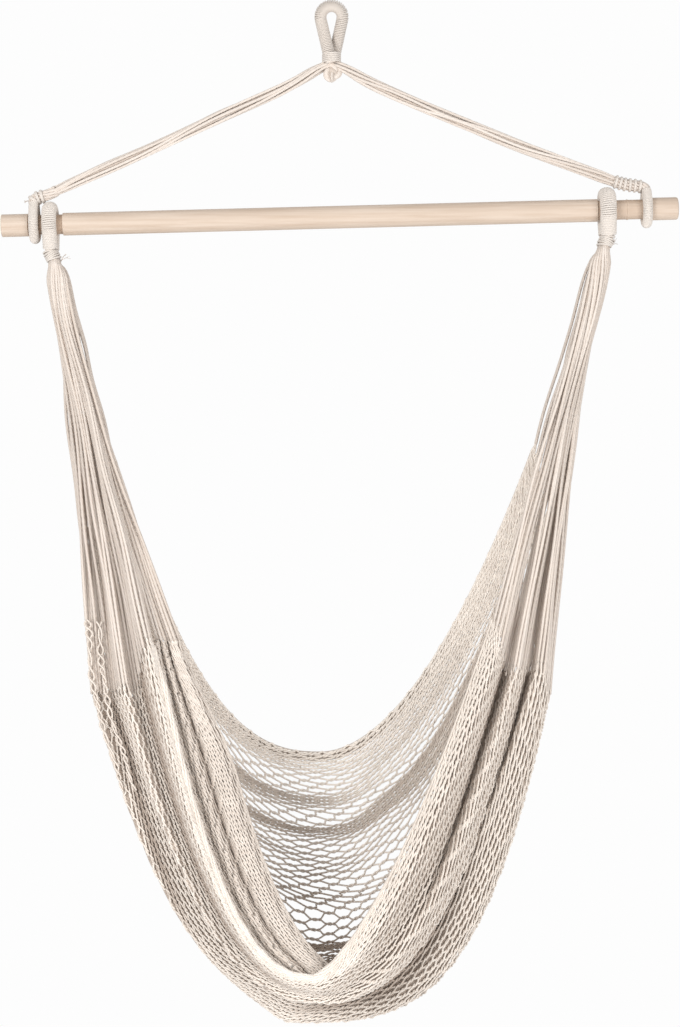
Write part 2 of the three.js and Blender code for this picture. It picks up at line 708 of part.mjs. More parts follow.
// The net: selvedge band, open back, folded front and base, and the rolled front edge
function makeNet() {
  const bandSeam = (2 * bandGap) / seatDrop;
  const panelSeam = (2 * panelGap) / seatDrop;
  const band = gridPanel(0, bandEdgeShare - bandSeam, bandCells, selvedgeThickness);
  const back = openPanel(bandEdgeShare + bandSeam, panelEdgeShare - panelSeam, netThickness);
  const front = gridPanel(panelEdgeShare + panelSeam, frontEdgeShare, frontCells, netThickness);
  addPiece(chair, "back_selvedge", band);
  addPiece(chair, "back_net", back);
  addPiece(chair, "front_net", front);
  const roll = Array.from({ length: rollSteps + 1 }, (_, i) => {
    return netPoint(lerp(rollInsetShare, 1 - rollInsetShare, i / rollSteps), 1);
  });
  addPiece(chair, "front_selvedge", cordAlong(roll, frontRollDiameter, rollSteps));
}

// Clew cords, fanned from a gathered neck to the end of the net
function makeClews(label, side, place) {
  const neck = neckLine(side, place).bottom;
  const along = side < 0 ? 0 : 1;
  for (let i = 0; i < clewCordCount; i++) {
    const share = i / (clewCordCount - 1);
    const angle = clewFirstAngle + clewAngleSpan * share;
    const start = barFrame.localToWorld(new THREE.Vector3(
      neck.x - side * (clewRingWidth / 2) * Math.cos(angle),
      (clewRingDepth / 2) * Math.sin(angle),
      neck.z - 2 * seatGap,
    ));
    const spot = lerp(clewInsetShare, 1 - clewInsetShare, share);
    const edge = netPoint(along, spot);
    const intoNet = netPoint(Math.abs(along - clewInsetShare), spot).sub(edge).normalize();
    const end = edge.clone().addScaledVector(intoNet, -clewEndGap);
    if (spot < panelEdgeShare) end.addScaledVector(axisX, side * (clewCordDiameter + netThickness) / 2);
    const middle = start.clone().lerp(end, 0.5).addScaledVector(axisX, side * clewBow);
    const cord = cordAlong([start, middle, end], clewCordDiameter, clewCordSteps);
    addPiece(chair, `clew_cord_${label}_${i + 1}`, cord);
  }
}

makeHangingLoop();
makeKnot();
makeBar();
makeChairEye("left", -1, leftChairEye);
makeChairEye("right", 1, rightChairEye);
const leftSpliceRoute = spliceRoute(-1, leftYokeEye, leftYokeRise, leftSplice, leftSpliceShares);
const rightSpliceRoute = spliceRoute(1, rightYokeEye, rightYokeRise, rightSplice, rightSpliceShares);
makeYokeEye("left", -1, leftYokeEye, leftYokeRise, leftSpliceRoute, leftWrap);
makeYokeEye("right", 1, rightYokeEye, rightYokeRise, rightSpliceRoute, rightWrap);
makeYokeLeg("left", leftSpliceRoute, leftYokeSag);
makeYokeLeg("right", rightSpliceRoute, rightYokeSag);
makeTails();
makeNet();
makeClews("left", -1, leftChairEye);
makeClews("right", 1, rightChairEye);

export default chair;
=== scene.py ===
"""Hammock chair: detailed cords, netting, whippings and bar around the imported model.

Lengths are in millimetres and become metres where a mesh is made.
"""

import math

import bpy
import numpy as np
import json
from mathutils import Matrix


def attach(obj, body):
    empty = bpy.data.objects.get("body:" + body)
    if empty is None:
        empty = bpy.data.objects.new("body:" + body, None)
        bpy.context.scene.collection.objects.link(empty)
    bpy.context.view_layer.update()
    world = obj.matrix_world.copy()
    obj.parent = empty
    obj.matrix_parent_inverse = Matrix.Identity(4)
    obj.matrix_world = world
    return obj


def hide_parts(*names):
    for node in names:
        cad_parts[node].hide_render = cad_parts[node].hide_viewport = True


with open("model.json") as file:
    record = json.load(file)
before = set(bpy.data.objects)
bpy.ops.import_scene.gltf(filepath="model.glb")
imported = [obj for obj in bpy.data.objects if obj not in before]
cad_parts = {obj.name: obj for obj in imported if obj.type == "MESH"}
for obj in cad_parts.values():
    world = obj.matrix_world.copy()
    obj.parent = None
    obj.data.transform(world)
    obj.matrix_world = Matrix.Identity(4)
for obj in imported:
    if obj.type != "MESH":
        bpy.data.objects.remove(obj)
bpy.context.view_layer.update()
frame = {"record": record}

METRES = 0.001
TURN = 2 * math.pi
rng = np.random.default_rng(11)

# Camera
CAMERA_AT = (11.3, -3400.0, -667.5)
VIEW_WIDTH = 905.1
SENSOR_WIDTH = 36.0

# Floor
FLOOR_HEIGHT = -1750.0
FLOOR_SIDE = 3600.0

# Hanging loop, in the sizes of the CAD part
LOOP_CORE_RADIUS = 5.8
LOOP_THREAD = 1.1
LOOP_OUTER = 8.35
LOOP_BEND = 14.8
LOOP_SPREAD = 2.0
LOOP_REACH = 62.5
LOOP_LEG_OFFSET = 8.7
LOOP_CROSS_SHARE = 0.8
THROAT_RADIUS = 6.8
THROAT_LENGTH = 12.0
THROAT_TAPER = 3.0
THROAT_HALF_WIDTH = 11.6
THROAT_HALF_DEPTH = 17.6
THROAT_THREAD = 1.25
KNOT_CENTRE = np.array([0.7, 0.0, -80.3])
KNOT_RING = (6.6, 3.0, 3.4)
KNOT_STRAND_RADIUS = 4.1
KNOT_CORE_RADII = (8.5, 8.0)
SLING_BEND = 12.6
SLING_RADIUS = 1.2

# Bar
BAR_AT = np.array([11.0, 0.0, -273.0])
BAR_TILT = math.radians(1.48)
BAR_LENGTH = 900.0
BAR_RADIUS = 15.0
NECK_RADIUS = 13.0
LEFT_GROOVE = (368.0, 414.5)
RIGHT_GROOVE = (342.5, 415.0)
COLLAR_AT = 382.0

# Eyes on the bar
GAP = 0.35
CHAIR_EYE_RADIUS = 5.9
CHAIR_THREAD = 1.35
CHAIR_OUTER = 8.65
CHAIR_DROP = 35.0
CHAIR_SPREAD = 19.0
CHAIR_EYES = {"left": (-1, 386.3), "right": (1, 355.6)}
CHAIR_EYE_SHIFTS = {"left": 1.2, "right": 0.0}
CHAIR_EYE_WIDTHS = {"left": 20.2, "right": 22.6}
NECK_WIDTH = 16.0
NECK_DEPTH = 27.0
NECK_LENGTH = 13.0
NECK_LEAN = 5.0
NECK_THREAD = 1.2
YOKE_EYE_RADIUS = 6.0
YOKE_SPREAD = 13.0
YOKE_EYES = {"left": (-1, 407.15, 28.0), "right": (1, 407.65, 24.0)}
YOKE_EYE_SHIFTS = {"left": 1.0, "right": 0.6}
YOKE_EYE_WIDTH = 13.4
YOKE_THREAD = 1.05
SPLICES = {
    "left": (31.0, 16.5, ((0, 0), (0, 0.19), (0.07, 0.36), (0.24, 0.49), (0.63, 0.68), (1, 1))),
    "right": (42.0, 14.0, ((0, 0), (0, 0.2), (0.08, 0.36), (0.27, 0.49), (0.67, 0.68), (1, 1))),
}
SPLICE_FOOT = (6.5, 11.0)
SPLICE_RADIUS = 7.4
SPLICE_TAPER_SHARE = 0.35
YOKE_LIFT = 9.0
YOKE_SAGS = {"left": 1.0, "right": 5.5}
YOKE_TWIST = math.radians(150)
YOKE_SHOULDER = 3.5
YOKE_CORD_RADIUS = 1.9
YOKE_RINGS = ((2.3, 3, 0.4), (6.3, 8, 0.0))
WRAPS = {
    "left": ((0.14, 0.3, 0.46), 2.4),
    "right": ((0.24, 0.38, 0.53, 0.67, 0.81, 0.94), 2.1),
}

# Net, by the same guide courses as the CAD part:
# place, left end, low point, right end (shares of half width, drop and half depth), powers
SEAT_OFFSET = -12.0
SEAT_HALF_WIDTH = 310.0
SEAT_DROP = 1080.0
SEAT_HALF_DEPTH = 150.0
SEAT_FORWARD = 22.0
BAR_DROP = 273.0
DEPTH_POWER = 1.6
GUIDE_SHARES = np.array([
    (0.00, -0.900, 0.290, 0.17, -0.01, 0.670, 1.00, 0.910, 0.280, 0.17, 2.45, 1.85),
    (0.10, -0.950, 0.320, 0.23, -0.02, 0.705, 0.99, 0.940, 0.315, 0.23, 2.50, 1.90),
    (0.32, -1.030, 0.405, 0.33, -0.02, 0.820, 0.83, 0.990, 0.405, 0.33, 2.70, 2.30),
    (0.50, -1.007, 0.507, 0.32, 0.024, 0.950, 0.40, 0.979, 0.554, 0.27, 2.65, 3.52),
    (0.60, -0.990, 0.568, 0.17, -0.131, 0.990, 0.07, 0.971, 0.588, 0.13, 1.52, 3.60),
    (0.68, -0.980, 0.580, -0.03, -0.027, 0.953, -0.23, 0.931, 0.550, -0.07, 2.70, 2.20),
    (0.75, -0.900, 0.583, 0.03, 0.043, 0.949, -0.33, 0.885, 0.556, 0.08, 2.30, 2.35),
    (0.82, -0.840, 0.574, -0.17, 0.03, 0.950, -0.57, 0.825, 0.550, -0.20, 2.60, 2.00),
    (0.88, -0.790, 0.580, -0.03, 0.02, 0.940, -0.60, 0.785, 0.560, 0.00, 2.50, 1.75),
    (0.94, -0.750, 0.520, -0.27, -0.01, 0.925, -0.83, 0.755, 0.520, -0.27, 2.40, 1.55),
    (1.00, -0.715, 0.520, -0.19, -0.03, 0.915, -0.79, 0.725, 0.490, -0.19, 2.40, 1.45),
])
BACK_END = 0.6
FRONT_END = 0.995
BACK_COURSES = 87
BAND_COURSES = 10
BAND_RADIUS = 1.5
FRONT_COURSES = 50
ROLLED_COURSES = 14
FOLD_COURSES = 28
HALF_MESHES = 60
FOLD_HALF_MESHES = 30
BACK_RADIUS = 1.3
FRONT_RADII = (1.2, 1.4)
FOLD_RADIUS = 1.3
LEFT_ROLL_RADIUS = 4.6
RIGHT_ROLL_RADIUS = 1.4
ROLL_STRANDS = 9
STRAND_SIDES = 6
# Painted shade on the sides of net strands that face their neighbours, as a share of their tone
STRAND_SIDE_SHADE = 0.7
CROWDING = (0.12, 0.3)

# Groups of back courses, as courses and spacing, in the middle and on the right
BACK_GROUPS = (
    (10, 3.5), (6.5, 5.0), (8.5, 2.7), (3.7, 6.0), (7, 2.7), (15, 4.7), (12, 6.4), (16, 2.3), (8.3, 8.2),
)
RIGHT_GROUPS = ((24, 2.3), (2.2, 5.5), (14, 1.8), (46.8, 4.5))
JOINED_SHARE = 0.75
JOINED_STEPS = 6

# The layers of gathered net that lie behind the outer one, with dark tones that are painted shade
LINER_COURSES = 56
LINER_RADIUS = 2.1
LINER_DEPTH = 5.5
LINER_SHADE = 0.45
BAND_LINER = (12, 0.65)
FOLD_LINER = (18, 0.5)
LINER_FROM = 0.012
END_JITTER = 3.5

# The slack loops down the left edge
LOOSE_REACH = 0.11
LOOSE_RISE = (-9.6, 4.5, 96.0)
LOOSE_LOOPS = 15
LOOSE_HALF_WIDTH = 3.4
LOOSE_CHAINS = ((0.675, 2.0), (0.705, 9.0))

# Clew cords
CLEW_COUNT = 50
CLEW_SKIP = (0.585, 0.655)
FOLD_CLEWS = 7
CLEW_RADIUS = 2.1
CLEW_BOWS = {"left": -4.5, "right": -7.0}
CLEW_GATHERS = {"left": 1.0, "right": 1.12}
FOLD_BOW = 7.0
STRAY_BOW = 4.5
CLEW_BULGE = 6.5
CLEW_TWIST = 1.7
CLEW_OUT = 1.0
CLEW_SPREAD = (1.0, 0.3, 0.22)
CLEW_TONES = (0.8, 1.14)
# Painted shade on the sides of clew cords that face their neighbours, as a share of their tone
CLEW_SIDE_SHADE = 0.48

# Creases between the gathered strips of the seat:
# side, place at the end of the net, place at the bottom, depth, half width (place), where it fades (along)
CREASES = (
    (1, 0.745, 0.655, 15.0, 0.016, (0.40, 0.50)),
    (1, 0.895, 0.845, 12.0, 0.014, (0.20, 0.36)),
    (-1, 0.735, 0.690, 3.5, 0.014, (0.22, 0.36)),
    (-1, 0.905, 0.900, 7.0, 0.014, (0.34, 0.46)),
)

# The strip of net turned in behind the front edge
FOLD_WIDTH = 64.0
FOLD_PLACES = (0.0, 0.1, 0.3, 0.44, 0.58, 0.85, 1.0)
# Place and width of the painted shade along the strip's groove
FOLD_GROOVE_SHADE = (0.44, 0.05)
FOLD_DEPTHS = (4.0, 24.0, 10.0, 28.0, 12.0, 14.0, 26.0)

# Light: name, place in metres, power and size
WORLD_LIGHT = 0.58
SHOWN_WHITE = 0.983
LAMPS = (
    ("key", (-1.7, -2.7, -0.3), 57, 1.2),
    ("fill", (1.8, -2.4, -1.1), 46, 1.6),
    ("back", (0.6, 2.4, 0.8), 8, 1.8),
)


def unit(vectors):
    return vectors / np.maximum(np.linalg.norm(vectors, axis=-1, keepdims=True), 1e-9)


def smooth(value, low=0.0, high=1.0):
    share = np.clip((value - low) / (high - low), 0, 1)
    return share * share * (3 - 2 * share)


def mix(a, b, share):
    return a + (b - a) * share


def linear(red, green, blue):
    """A colour of a picture, 0 to 255 a channel, as Blender's linear colour."""
    values = np.array((red, green, blue)) / 255
    values = np.where(values <= 0.04045, values / 12.92, ((values + 0.055) / 1.055) ** 2.4)
    return (*values.tolist(), 1.0)


# Meshes


def round_angles(sides):
    return TURN * np.arange(sides) / sides


def tube(lines, ups, radius, sides, tone=1.0, flat=1.0, side_shade=1.0):
    """Round strands along lines of shape (strands, points, 3), as arrays for dress().

    ups keeps the strands' roll, flat squeezes them along it, and the sides that face the neighbours
    get painted shade: their tone is the side share of the tone along ups.
    """
    lines = np.asarray(lines, float)
    if lines.ndim == 2:
        lines = lines[None]
    ups = np.broadcast_to(ups, lines.shape)
    tangent = unit(np.gradient(lines, axis=1))
    first = unit(ups - (ups * tangent).sum(-1, keepdims=True) * tangent)
    second = np.cross(tangent, first)
    angle = round_angles(sides)
    radius = np.broadcast_to(radius, lines.shape[:2])[:, :, None, None]
    out = flat * np.cos(angle)[:, None] * first[:, :, None] + np.sin(angle)[:, None] * second[:, :, None]
    # Painted shade on the sides that face the neighbours
    side_shading = mix(side_shade, 1, np.abs(np.cos(angle)) ** 1.3)
    tones = np.broadcast_to(tone, lines.shape[:2])[..., None] * side_shading
    return {"rings": lines[:, :, None] + radius * out, "tone": tones}


def corner_maps(rings, first_row, row_count):
    """The bake map, one row per strand, and the lay map: metres along and share of a turn round."""
    strands, _, sides = rings.shape[:3]
    middle = rings.mean(2)
    steps = np.linalg.norm(np.diff(middle, axis=1), axis=-1)
    along = np.concatenate([np.zeros((strands, 1)), np.cumsum(steps, 1)], 1)
    share = 0.015 + 0.97 * along / np.maximum(along[:, -1:], 1e-9)
    row = (first_row + np.arange(strands))[:, None, None] / row_count
    height = 0.84 / row_count
    turn = np.arange(sides + 1) / sides

    def corners(values, rounds):
        spots = np.stack(np.broadcast_arrays(values[:, :, None], rounds), -1)
        near, far = spots[:, :-1], spots[:, 1:]
        return np.stack([near[:, :, :-1], near[:, :, 1:], far[:, :, 1:], far[:, :, :-1]], -2).reshape(-1, 2)

    bake = corners(share, row + 0.08 / row_count + height * turn)
    lay = corners(along * METRES, np.broadcast_to(turn, (strands, 1, sides + 1)))
    angle = round_angles(sides)
    ring = np.stack([0.004 * np.cos(angle), 0.3 / row_count * np.sin(angle)], -1)
    caps = []
    for edge, turned in ((0.007, -1), (0.993, 1)):
        centre = np.stack([np.full(strands, edge), row[:, 0, 0] + 0.5 / row_count], -1)
        caps.append((centre[:, None] + ring[::turned]).reshape(-1, 2))
    cap_lay = np.zeros((2 * strands * sides, 2))
    return np.concatenate([bake, *caps]), np.concatenate([lay, cap_lay])


def make_mesh(name, sets):
    row_count = sum(s["rings"].shape[0] for s in sets)
    points, corners, sizes, bakes, lays, tones = [], [], [], [], [], []
    first_row, first_point = 0, 0
    for s in sets:
        rings = s["rings"]
        strands, count, sides = rings.shape[:3]
        index = first_point + np.arange(strands * count * sides).reshape(strands, count, sides)
        after = np.roll(index, -1, axis=2)
        quads = np.stack([index[:, :-1], after[:, :-1], after[:, 1:], index[:, 1:]], -1)
        caps = np.concatenate([index[:, 0, ::-1], index[:, -1]])
        corners += [quads.ravel(), caps.ravel()]
        sizes += [np.full(quads.size // 4, 4), np.full(len(caps), sides)]
        points.append(rings.reshape(-1, 3))
        tones.append(s["tone"].ravel())
        bake, lay = corner_maps(rings, first_row, row_count)
        bakes.append(bake)
        lays.append(lay)
        first_row += strands
        first_point += strands * count * sides
    points, corners, sizes = np.concatenate(points) * METRES, np.concatenate(corners), np.concatenate(sizes)
    mesh = bpy.data.meshes.new(name)
    mesh.vertices.add(len(points))
    mesh.vertices.foreach_set("co", points.astype(np.float32).ravel())
    mesh.loops.add(len(corners))
    mesh.loops.foreach_set("vertex_index", corners.astype(np.int32))
    mesh.polygons.add(len(sizes))
    mesh.polygons.foreach_set("loop_start", (np.cumsum(sizes) - sizes).astype(np.int32))
    mesh.polygons.foreach_set("use_smooth", np.ones(len(sizes), bool))
    mesh.update(calc_edges=True)
    for label, values in (("OFBake", bakes), ("lay", lays)):
        layer = mesh.uv_layers.new(name=label)
        layer.uv.foreach_set("vector", np.concatenate(values).astype(np.float32).ravel())
    tone = mesh.attributes.new("tone", "FLOAT", "POINT")
    tone.data.foreach_set("value", np.concatenate(tones).astype(np.float32))
    mesh.validate()
    return mesh


NODE_BODY = {
    node: body for body, nodes in frame["record"]["behaviour"]["bodies"].items() for node in nodes
}


def add_object(name, data):
    thing = bpy.data.objects.new(name, data)
    bpy.context.scene.collection.objects.link(thing)
    return thing


def dress(name, sets, slot, *nodes, look=None):
    """A piece made of strands, which rides on and stands for these CAD nodes."""
    piece = add_object(name, make_mesh(name, sets))
    piece.data.materials.append(LOOKS[look or slot])
    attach(piece, NODE_BODY[nodes[0]])
    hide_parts(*nodes)
    return piece


# Materials


def shader(name):
    material = bpy.data.materials.new(name)
    material.use_nodes = True
    return material, material.node_tree, material.node_tree.nodes["Principled BSDF"]


def fill(tree, node, **inputs):
    """Sets a node's inputs to numbers and colours, or links them to sockets."""
    for name, value in inputs.items():
        socket = node.inputs[name.replace("_", " ")]
        if isinstance(value, bpy.types.NodeSocket):
            tree.links.new(value, socket)
        else:
            socket.default_value = value
    return node


def add(tree, kind, **inputs):
    return fill(tree, tree.nodes.new("ShaderNode" + kind), **inputs)


def math_of(tree, operation, *values):
    node = add(tree, "Math")
    node.operation = operation
    for socket, value in zip(node.inputs, values):
        if isinstance(value, (int, float)):
            socket.default_value = value
        else:
            tree.links.new(value, socket)
    return node.outputs[0]


def toned(tree, dark, light, factor):
    """The colour from dark to light, each of them a colour or a socket."""
    node = add(tree, "Mix")
    node.data_type = "RGBA"
    return fill(tree, node, A=dark, B=light, Factor=factor).outputs["Result"]


def strand_tone(tree):
    # The tone attribute: each strand's random tone, with painted shade on strand sides, in cores, creases
    # and grooves; on the bar, its darker grooves and end
    node = add(tree, "Attribute")
    node.attribute_name = "tone"
    return node.outputs["Fac"]


def cotton(name, light, shade, plies=3, pitch=0.006, bump=0.0005, mottle=0.5, fuzz=0.00012):
    """Spun cotton: plies that wind round the strand, with painted shade in the grooves between them, fine
    fibres and a soft mottle.
    """
    material, tree, bsdf = shader(name)
    lay = add(tree, "UVMap")
    lay.uv_map = "lay"
    parts = add(tree, "SeparateXYZ", Vector=lay.outputs[0])
    along = math_of(tree, "MULTIPLY", parts.outputs[0], TURN / pitch)
    turned = math_of(tree, "MULTIPLY", parts.outputs[1], TURN * plies)
    wave = math_of(tree, "SINE", math_of(tree, "ADD", along, turned))
    ply = math_of(tree, "MULTIPLY_ADD", wave, 0.5, 0.5)

    place = add(tree, "TexCoord").outputs["Object"]
    fibres = add(tree, "TexNoise", Scale=1500, Detail=3, Vector=place).outputs["Fac"]
    patches = add(tree, "TexNoise", Scale=60, Detail=4, Vector=place).outputs["Fac"]
    patch = math_of(tree, "MULTIPLY_ADD", patches, mottle, 1 - mottle / 2 - 0.12)
    # Painted shade in the grooves between the plies
    ply_shade = math_of(tree, "MULTIPLY_ADD", ply, 0.18, 0.86)
    share = math_of(tree, "MULTIPLY", math_of(tree, "MULTIPLY", patch, ply_shade), strand_tone(tree))
    share.node.use_clamp = True
    rough = math_of(tree, "MULTIPLY_ADD", patches, 0.12, 0.84)
    coarse = add(tree, "Bump", Distance=bump, Height=ply).outputs["Normal"]
    fine = add(tree, "Bump", Distance=fuzz, Height=fibres, Normal=coarse).outputs["Normal"]
    fill(tree, bsdf, Base_Color=toned(tree, shade, light, share), Roughness=rough, Normal=fine,
         Specular_IOR_Level=0.2, Sheen_Weight=0.25, Sheen_Roughness=0.6)
    return material


def wood(name, light, dark):
    """Pale sanded wood with long fine grain along X, darker where the tone attribute is low."""
    material, tree, bsdf = shader(name)
    place = add(tree, "TexCoord").outputs["Object"]
    stretch = add(tree, "Mapping", Scale=(2.2, 60, 60), Vector=place).outputs[0]
    grain = add(tree, "TexNoise", Scale=3.2, Detail=6, Roughness=0.62, Vector=stretch).outputs["Fac"]
    pores = add(tree, "TexNoise", Scale=14, Detail=2, Vector=stretch).outputs["Fac"]
    ramp = add(tree, "ValToRGB")
    for element, position, colour in zip(ramp.color_ramp.elements, (0.3, 0.62), (dark, light)):
        element.position = position
        element.color = colour
    tree.links.new(grain, ramp.inputs[0])
    rough = math_of(tree, "MULTIPLY_ADD", grain, 0.2, 0.48)
    dents = add(tree, "Bump", Distance=0.00015, Height=pores).outputs["Normal"]
    colour = toned(tree, DARK_WOOD, ramp.outputs[0], strand_tone(tree))
    fill(tree, bsdf, Base_Color=colour, Roughness=rough, Normal=dents, Specular_IOR_Level=0.35)
    return material


CREAM = linear(228, 218, 209)
CREAM_SHADE = linear(176, 157, 140)
DARK_WOOD = linear(168, 134, 104)
WHIPPING = (linear(221, 213, 205), linear(199, 187, 176))
NET = (linear(248, 239, 229), linear(132, 106, 84))
WOOD = (linear(209, 192, 176), linear(192, 171, 152))
LOOKS = {
    "cotton_rope": cotton("cotton_rope", CREAM, CREAM_SHADE, plies=3, pitch=0.012, bump=0.0006),
    "cotton_whipping": cotton("cotton_whipping", *WHIPPING, plies=2, pitch=0.004, bump=0.0002),
    "cotton_cord": cotton("cotton_cord", CREAM, CREAM_SHADE, plies=3, pitch=0.009, bump=0.0003, mottle=0.3),
    "cotton_net": cotton("cotton_net", *NET, plies=2, pitch=0.007, bump=0.0003, mottle=0.35),
    "bar_wood": wood("pale_wood", *WOOD),
}


# Routes


def curve_through(points, count):
    """A smooth curve through points, spaced evenly along its length."""
    points = np.asarray(points, float)
    padded = np.concatenate([[2 * points[0] - points[1]], points, [2 * points[-1] - points[-2]]])
    dense = []
    for i in range(1, len(padded) - 2):
        p = padded[i - 1:i + 3]
        knots = np.concatenate([[0], np.cumsum(np.linalg.norm(np.diff(p, axis=0), axis=1) ** 0.5 + 1e-6)])
        t = np.linspace(knots[1], knots[2], 24, endpoint=False)[:, None]

        def step(a, b, low, high):
            return (high - t) / (high - low) * a + (t - low) / (high - low) * b

        a1, a2, a3 = (step(p[k], p[k + 1], knots[k], knots[k + 1]) for k in range(3))
        b1, b2 = step(a1, a2, knots[0], knots[2]), step(a2, a3, knots[1], knots[3])
        dense.append(step(b1, b2, knots[1], knots[2]))
    dense = np.concatenate([*dense, padded[-2:-1]])
    return respaced(dense, count)


def respaced(points, count):
    along = np.concatenate([[0], np.cumsum(np.linalg.norm(np.diff(points, axis=0), axis=1))])
    spots = np.linspace(0, along[-1], count)
    return np.stack([np.interp(spots, along, points[:, k]) for k in range(3)], -1)


def length_of(points):
    return float(np.linalg.norm(np.diff(points, axis=0), axis=1).sum())


def carried(points, up):
    """Directions across a path, from `up` at its start, that turn with it and don't twist."""
    tangent = unit(np.gradient(points, axis=0))
    across = np.empty_like(points)
    last = np.asarray(up, float)
    for i, way in enumerate(tangent):
        last = unit(last - last.dot(way) * way)
        across[i] = last
    return across, np.cross(tangent, across)


def winding(path, up, thread, pitch, steps, sides, sizes, tone=1.0):
    """A thread wound round a path. sizes are the two radii of the oval that its middle follows."""
    turns = length_of(path) / pitch
    count = max(int(turns * steps), 8)
    fine = respaced(path, count)
    first, second = carried(fine, up)
    angle = TURN * turns * np.linspace(0, 1, count)
    out = sizes[0] * np.cos(angle)[:, None] * first + sizes[1] * np.sin(angle)[:, None] * second
    return tube(fine + out, unit(out), thread, sides, tone)


def teardrop(centre, across, up, bend, spread, reach, count):
    """Middle line of a rope bent into a teardrop, from one leg's end to the other's."""
    half = spread / 2
    lap = math.atan2(reach, half) - math.acos(bend / math.hypot(half, reach))
    leg = (reach - bend * math.sin(lap)) / math.cos(lap)
    angles = np.linspace(-lap, math.pi / 2, 40)
    arc = np.stack([bend * np.cos(angles), bend * np.sin(angles)], -1)
    right = np.concatenate([[[half, -reach]], arc])
    flat = np.concatenate([right * (-1, 1), right[::-1][1:]])
    points = centre + flat[:, :1] * np.asarray(across, float) + flat[:, 1:] * np.asarray(up, float)
    return respaced(points, count), leg, 2 * leg + bend * (math.pi + 2 * lap)


def bar_world(points):
    """From the bar's own frame to the chair's."""
    points = np.asarray(points, float)
    c, s = math.cos(BAR_TILT), math.sin(BAR_TILT)
    turned = np.stack([c * points[..., 0] - s * points[..., 2], points[..., 1],
                       s * points[..., 0] + c * points[..., 2]], -1)
    return turned + BAR_AT


# Net surface


def guide_at(place):
    places, values = GUIDE_SHARES[:, 0], GUIDE_SHARES[:, 1:]
    slopes = np.empty_like(values)
    slopes[1:-1] = (values[2:] - values[:-2]) / (places[2:] - places[:-2])[:, None]
    slopes[0] = (values[1] - values[0]) / (places[1] - places[0])
    slopes[-1] = (values[-1] - values[-2]) / (places[-1] - places[-2])
    i = np.clip(np.searchsorted(places, place, side="left") - 1, 0, len(places) - 2)
    span = (places[i + 1] - places[i])[..., None]
    t = ((place - places[i])[..., None]) / span
    return (values[i] * (2 * t**3 - 3 * t**2 + 1) + slopes[i] * span * (t**3 - 2 * t**2 + t)
            + values[i + 1] * (3 * t**2 - 2 * t**3) + slopes[i + 1] * span * (t**3 - t**2))


def net_point(along, place):
    along, place = np.broadcast_arrays(np.asarray(along, float), np.asarray(place, float))
    guide = guide_at(place)
    signed = mix(1 - 2 * along, np.cos(math.pi * along), 0.5)
    reach = np.abs(signed)
    left = (signed > 0)[..., None]
    end = np.where(left, guide[..., 0:3], guide[..., 6:9])
    low = guide[..., 3:6]
    power = np.where(left[..., 0], guide[..., 9], guide[..., 10])
    x = SEAT_OFFSET + SEAT_HALF_WIDTH * mix(low[..., 0], end[..., 0], reach)
    y = SEAT_HALF_DEPTH * mix(low[..., 2], end[..., 2], reach**DEPTH_POWER) - SEAT_FORWARD
    z = -BAR_DROP - SEAT_DROP * mix(low[..., 1], end[..., 1], reach**power)
    return np.stack([x, y, z], -1)


def crease_shares(along, place):
    """How deep in each crease a place of the net lies, from 0 to 1."""
    along, place = np.broadcast_arrays(np.asarray(along, float), np.asarray(place, float))
    shares = []
    for side, end_place, low_place, _, width, fade in CREASES:
        from_end = along if side < 0 else 1 - along
        middle = mix(end_place, low_place, smooth(from_end, 0, 0.34))
        shares.append(np.exp(-((place - middle) / width) ** 2) * (1 - smooth(from_end, *fade)))
    return np.stack(shares)


def seat_point(along, place):
    """The net's surface with its creases pressed in."""
    points = net_point(along, place)
    depths = np.array([crease[3] for crease in CREASES])
    points[..., 1] += np.tensordot(depths, crease_shares(along, place), 1)
    return points


def surface_ways(surface, along, place):
    """Unit directions across the courses and out of a surface."""
    step = 1e-3
    across = surface(along, np.minimum(place + step, 1)) - surface(along, np.maximum(place - step, 0))
    ahead = surface(np.minimum(along + step, 1), place) - surface(np.maximum(along - step, 0), place)
    across = unit(across)
    return across, unit(np.cross(ahead, across))


def fold_point(along, place):
    """The strip of net that turns in behind the front edge's left half."""
    along, place = np.broadcast_arrays(np.asarray(along, float), np.asarray(place, float))
    edge = net_point(0.5 * along, 1.0)
    fade = 1 - smooth(along, 0.8, 1.1)
    width = FOLD_WIDTH * mix(0.5, 1, smooth(along, 0, 0.3)) * fade
    depth = np.interp(place, FOLD_PLACES, FOLD_DEPTHS) * mix(0.35, 1, fade)
    edge[..., 0] += 3 + width * place
    edge[..., 1] += depth
    edge[..., 2] -= 16 * smooth(along, 0.78, 1.0)
    return edge


def waves(rows, columns, count, row_waves, column_waves):
    """Smooth random values of about -1 to 1 over a grid of shares."""
    total = np.zeros(np.broadcast(rows, columns).shape)
    for _ in range(count):
        a = rng.uniform(*row_waves) * rng.choice((-1, 1))
        b = rng.uniform(*column_waves)
        total += np.cos(TURN * (a * rows + b * columns + rng.uniform()))
    return total / math.sqrt(count / 2) / 2


def course_places(low, high, weights, surface, alongs):
    """Places of the courses, whose spacing on the surface follows the weights at each point along.

    Where the net turns in or out of a fold, its courses crowd together.
    """
    grid = np.linspace(low, high, 160)
    points = surface(alongs[None], grid[:, None])
    ahead = surface(np.minimum(alongs + 1e-3, 1)[None], grid[:, None])
    ahead = unit(ahead - surface(np.maximum(alongs - 1e-3, 0)[None], grid[:, None]))[1:]
    steps = np.diff(points, axis=0)
    steps -= (steps * ahead).sum(-1, keepdims=True) * ahead
    steps[..., 1] *= mix(*CROWDING, smooth(alongs, 0.4, 0.6))
    steps = np.linalg.norm(steps, axis=-1)
    arc = np.concatenate([np.zeros((1, len(alongs))), np.cumsum(steps, 0)])
    total = weights.sum(0)
    shares = (np.cumsum(weights, 0) - weights / 2) / total
    return np.stack([np.interp(shares[:, t] * arc[-1, t], arc[:, t], grid) for t in range(len(alongs))], 1)


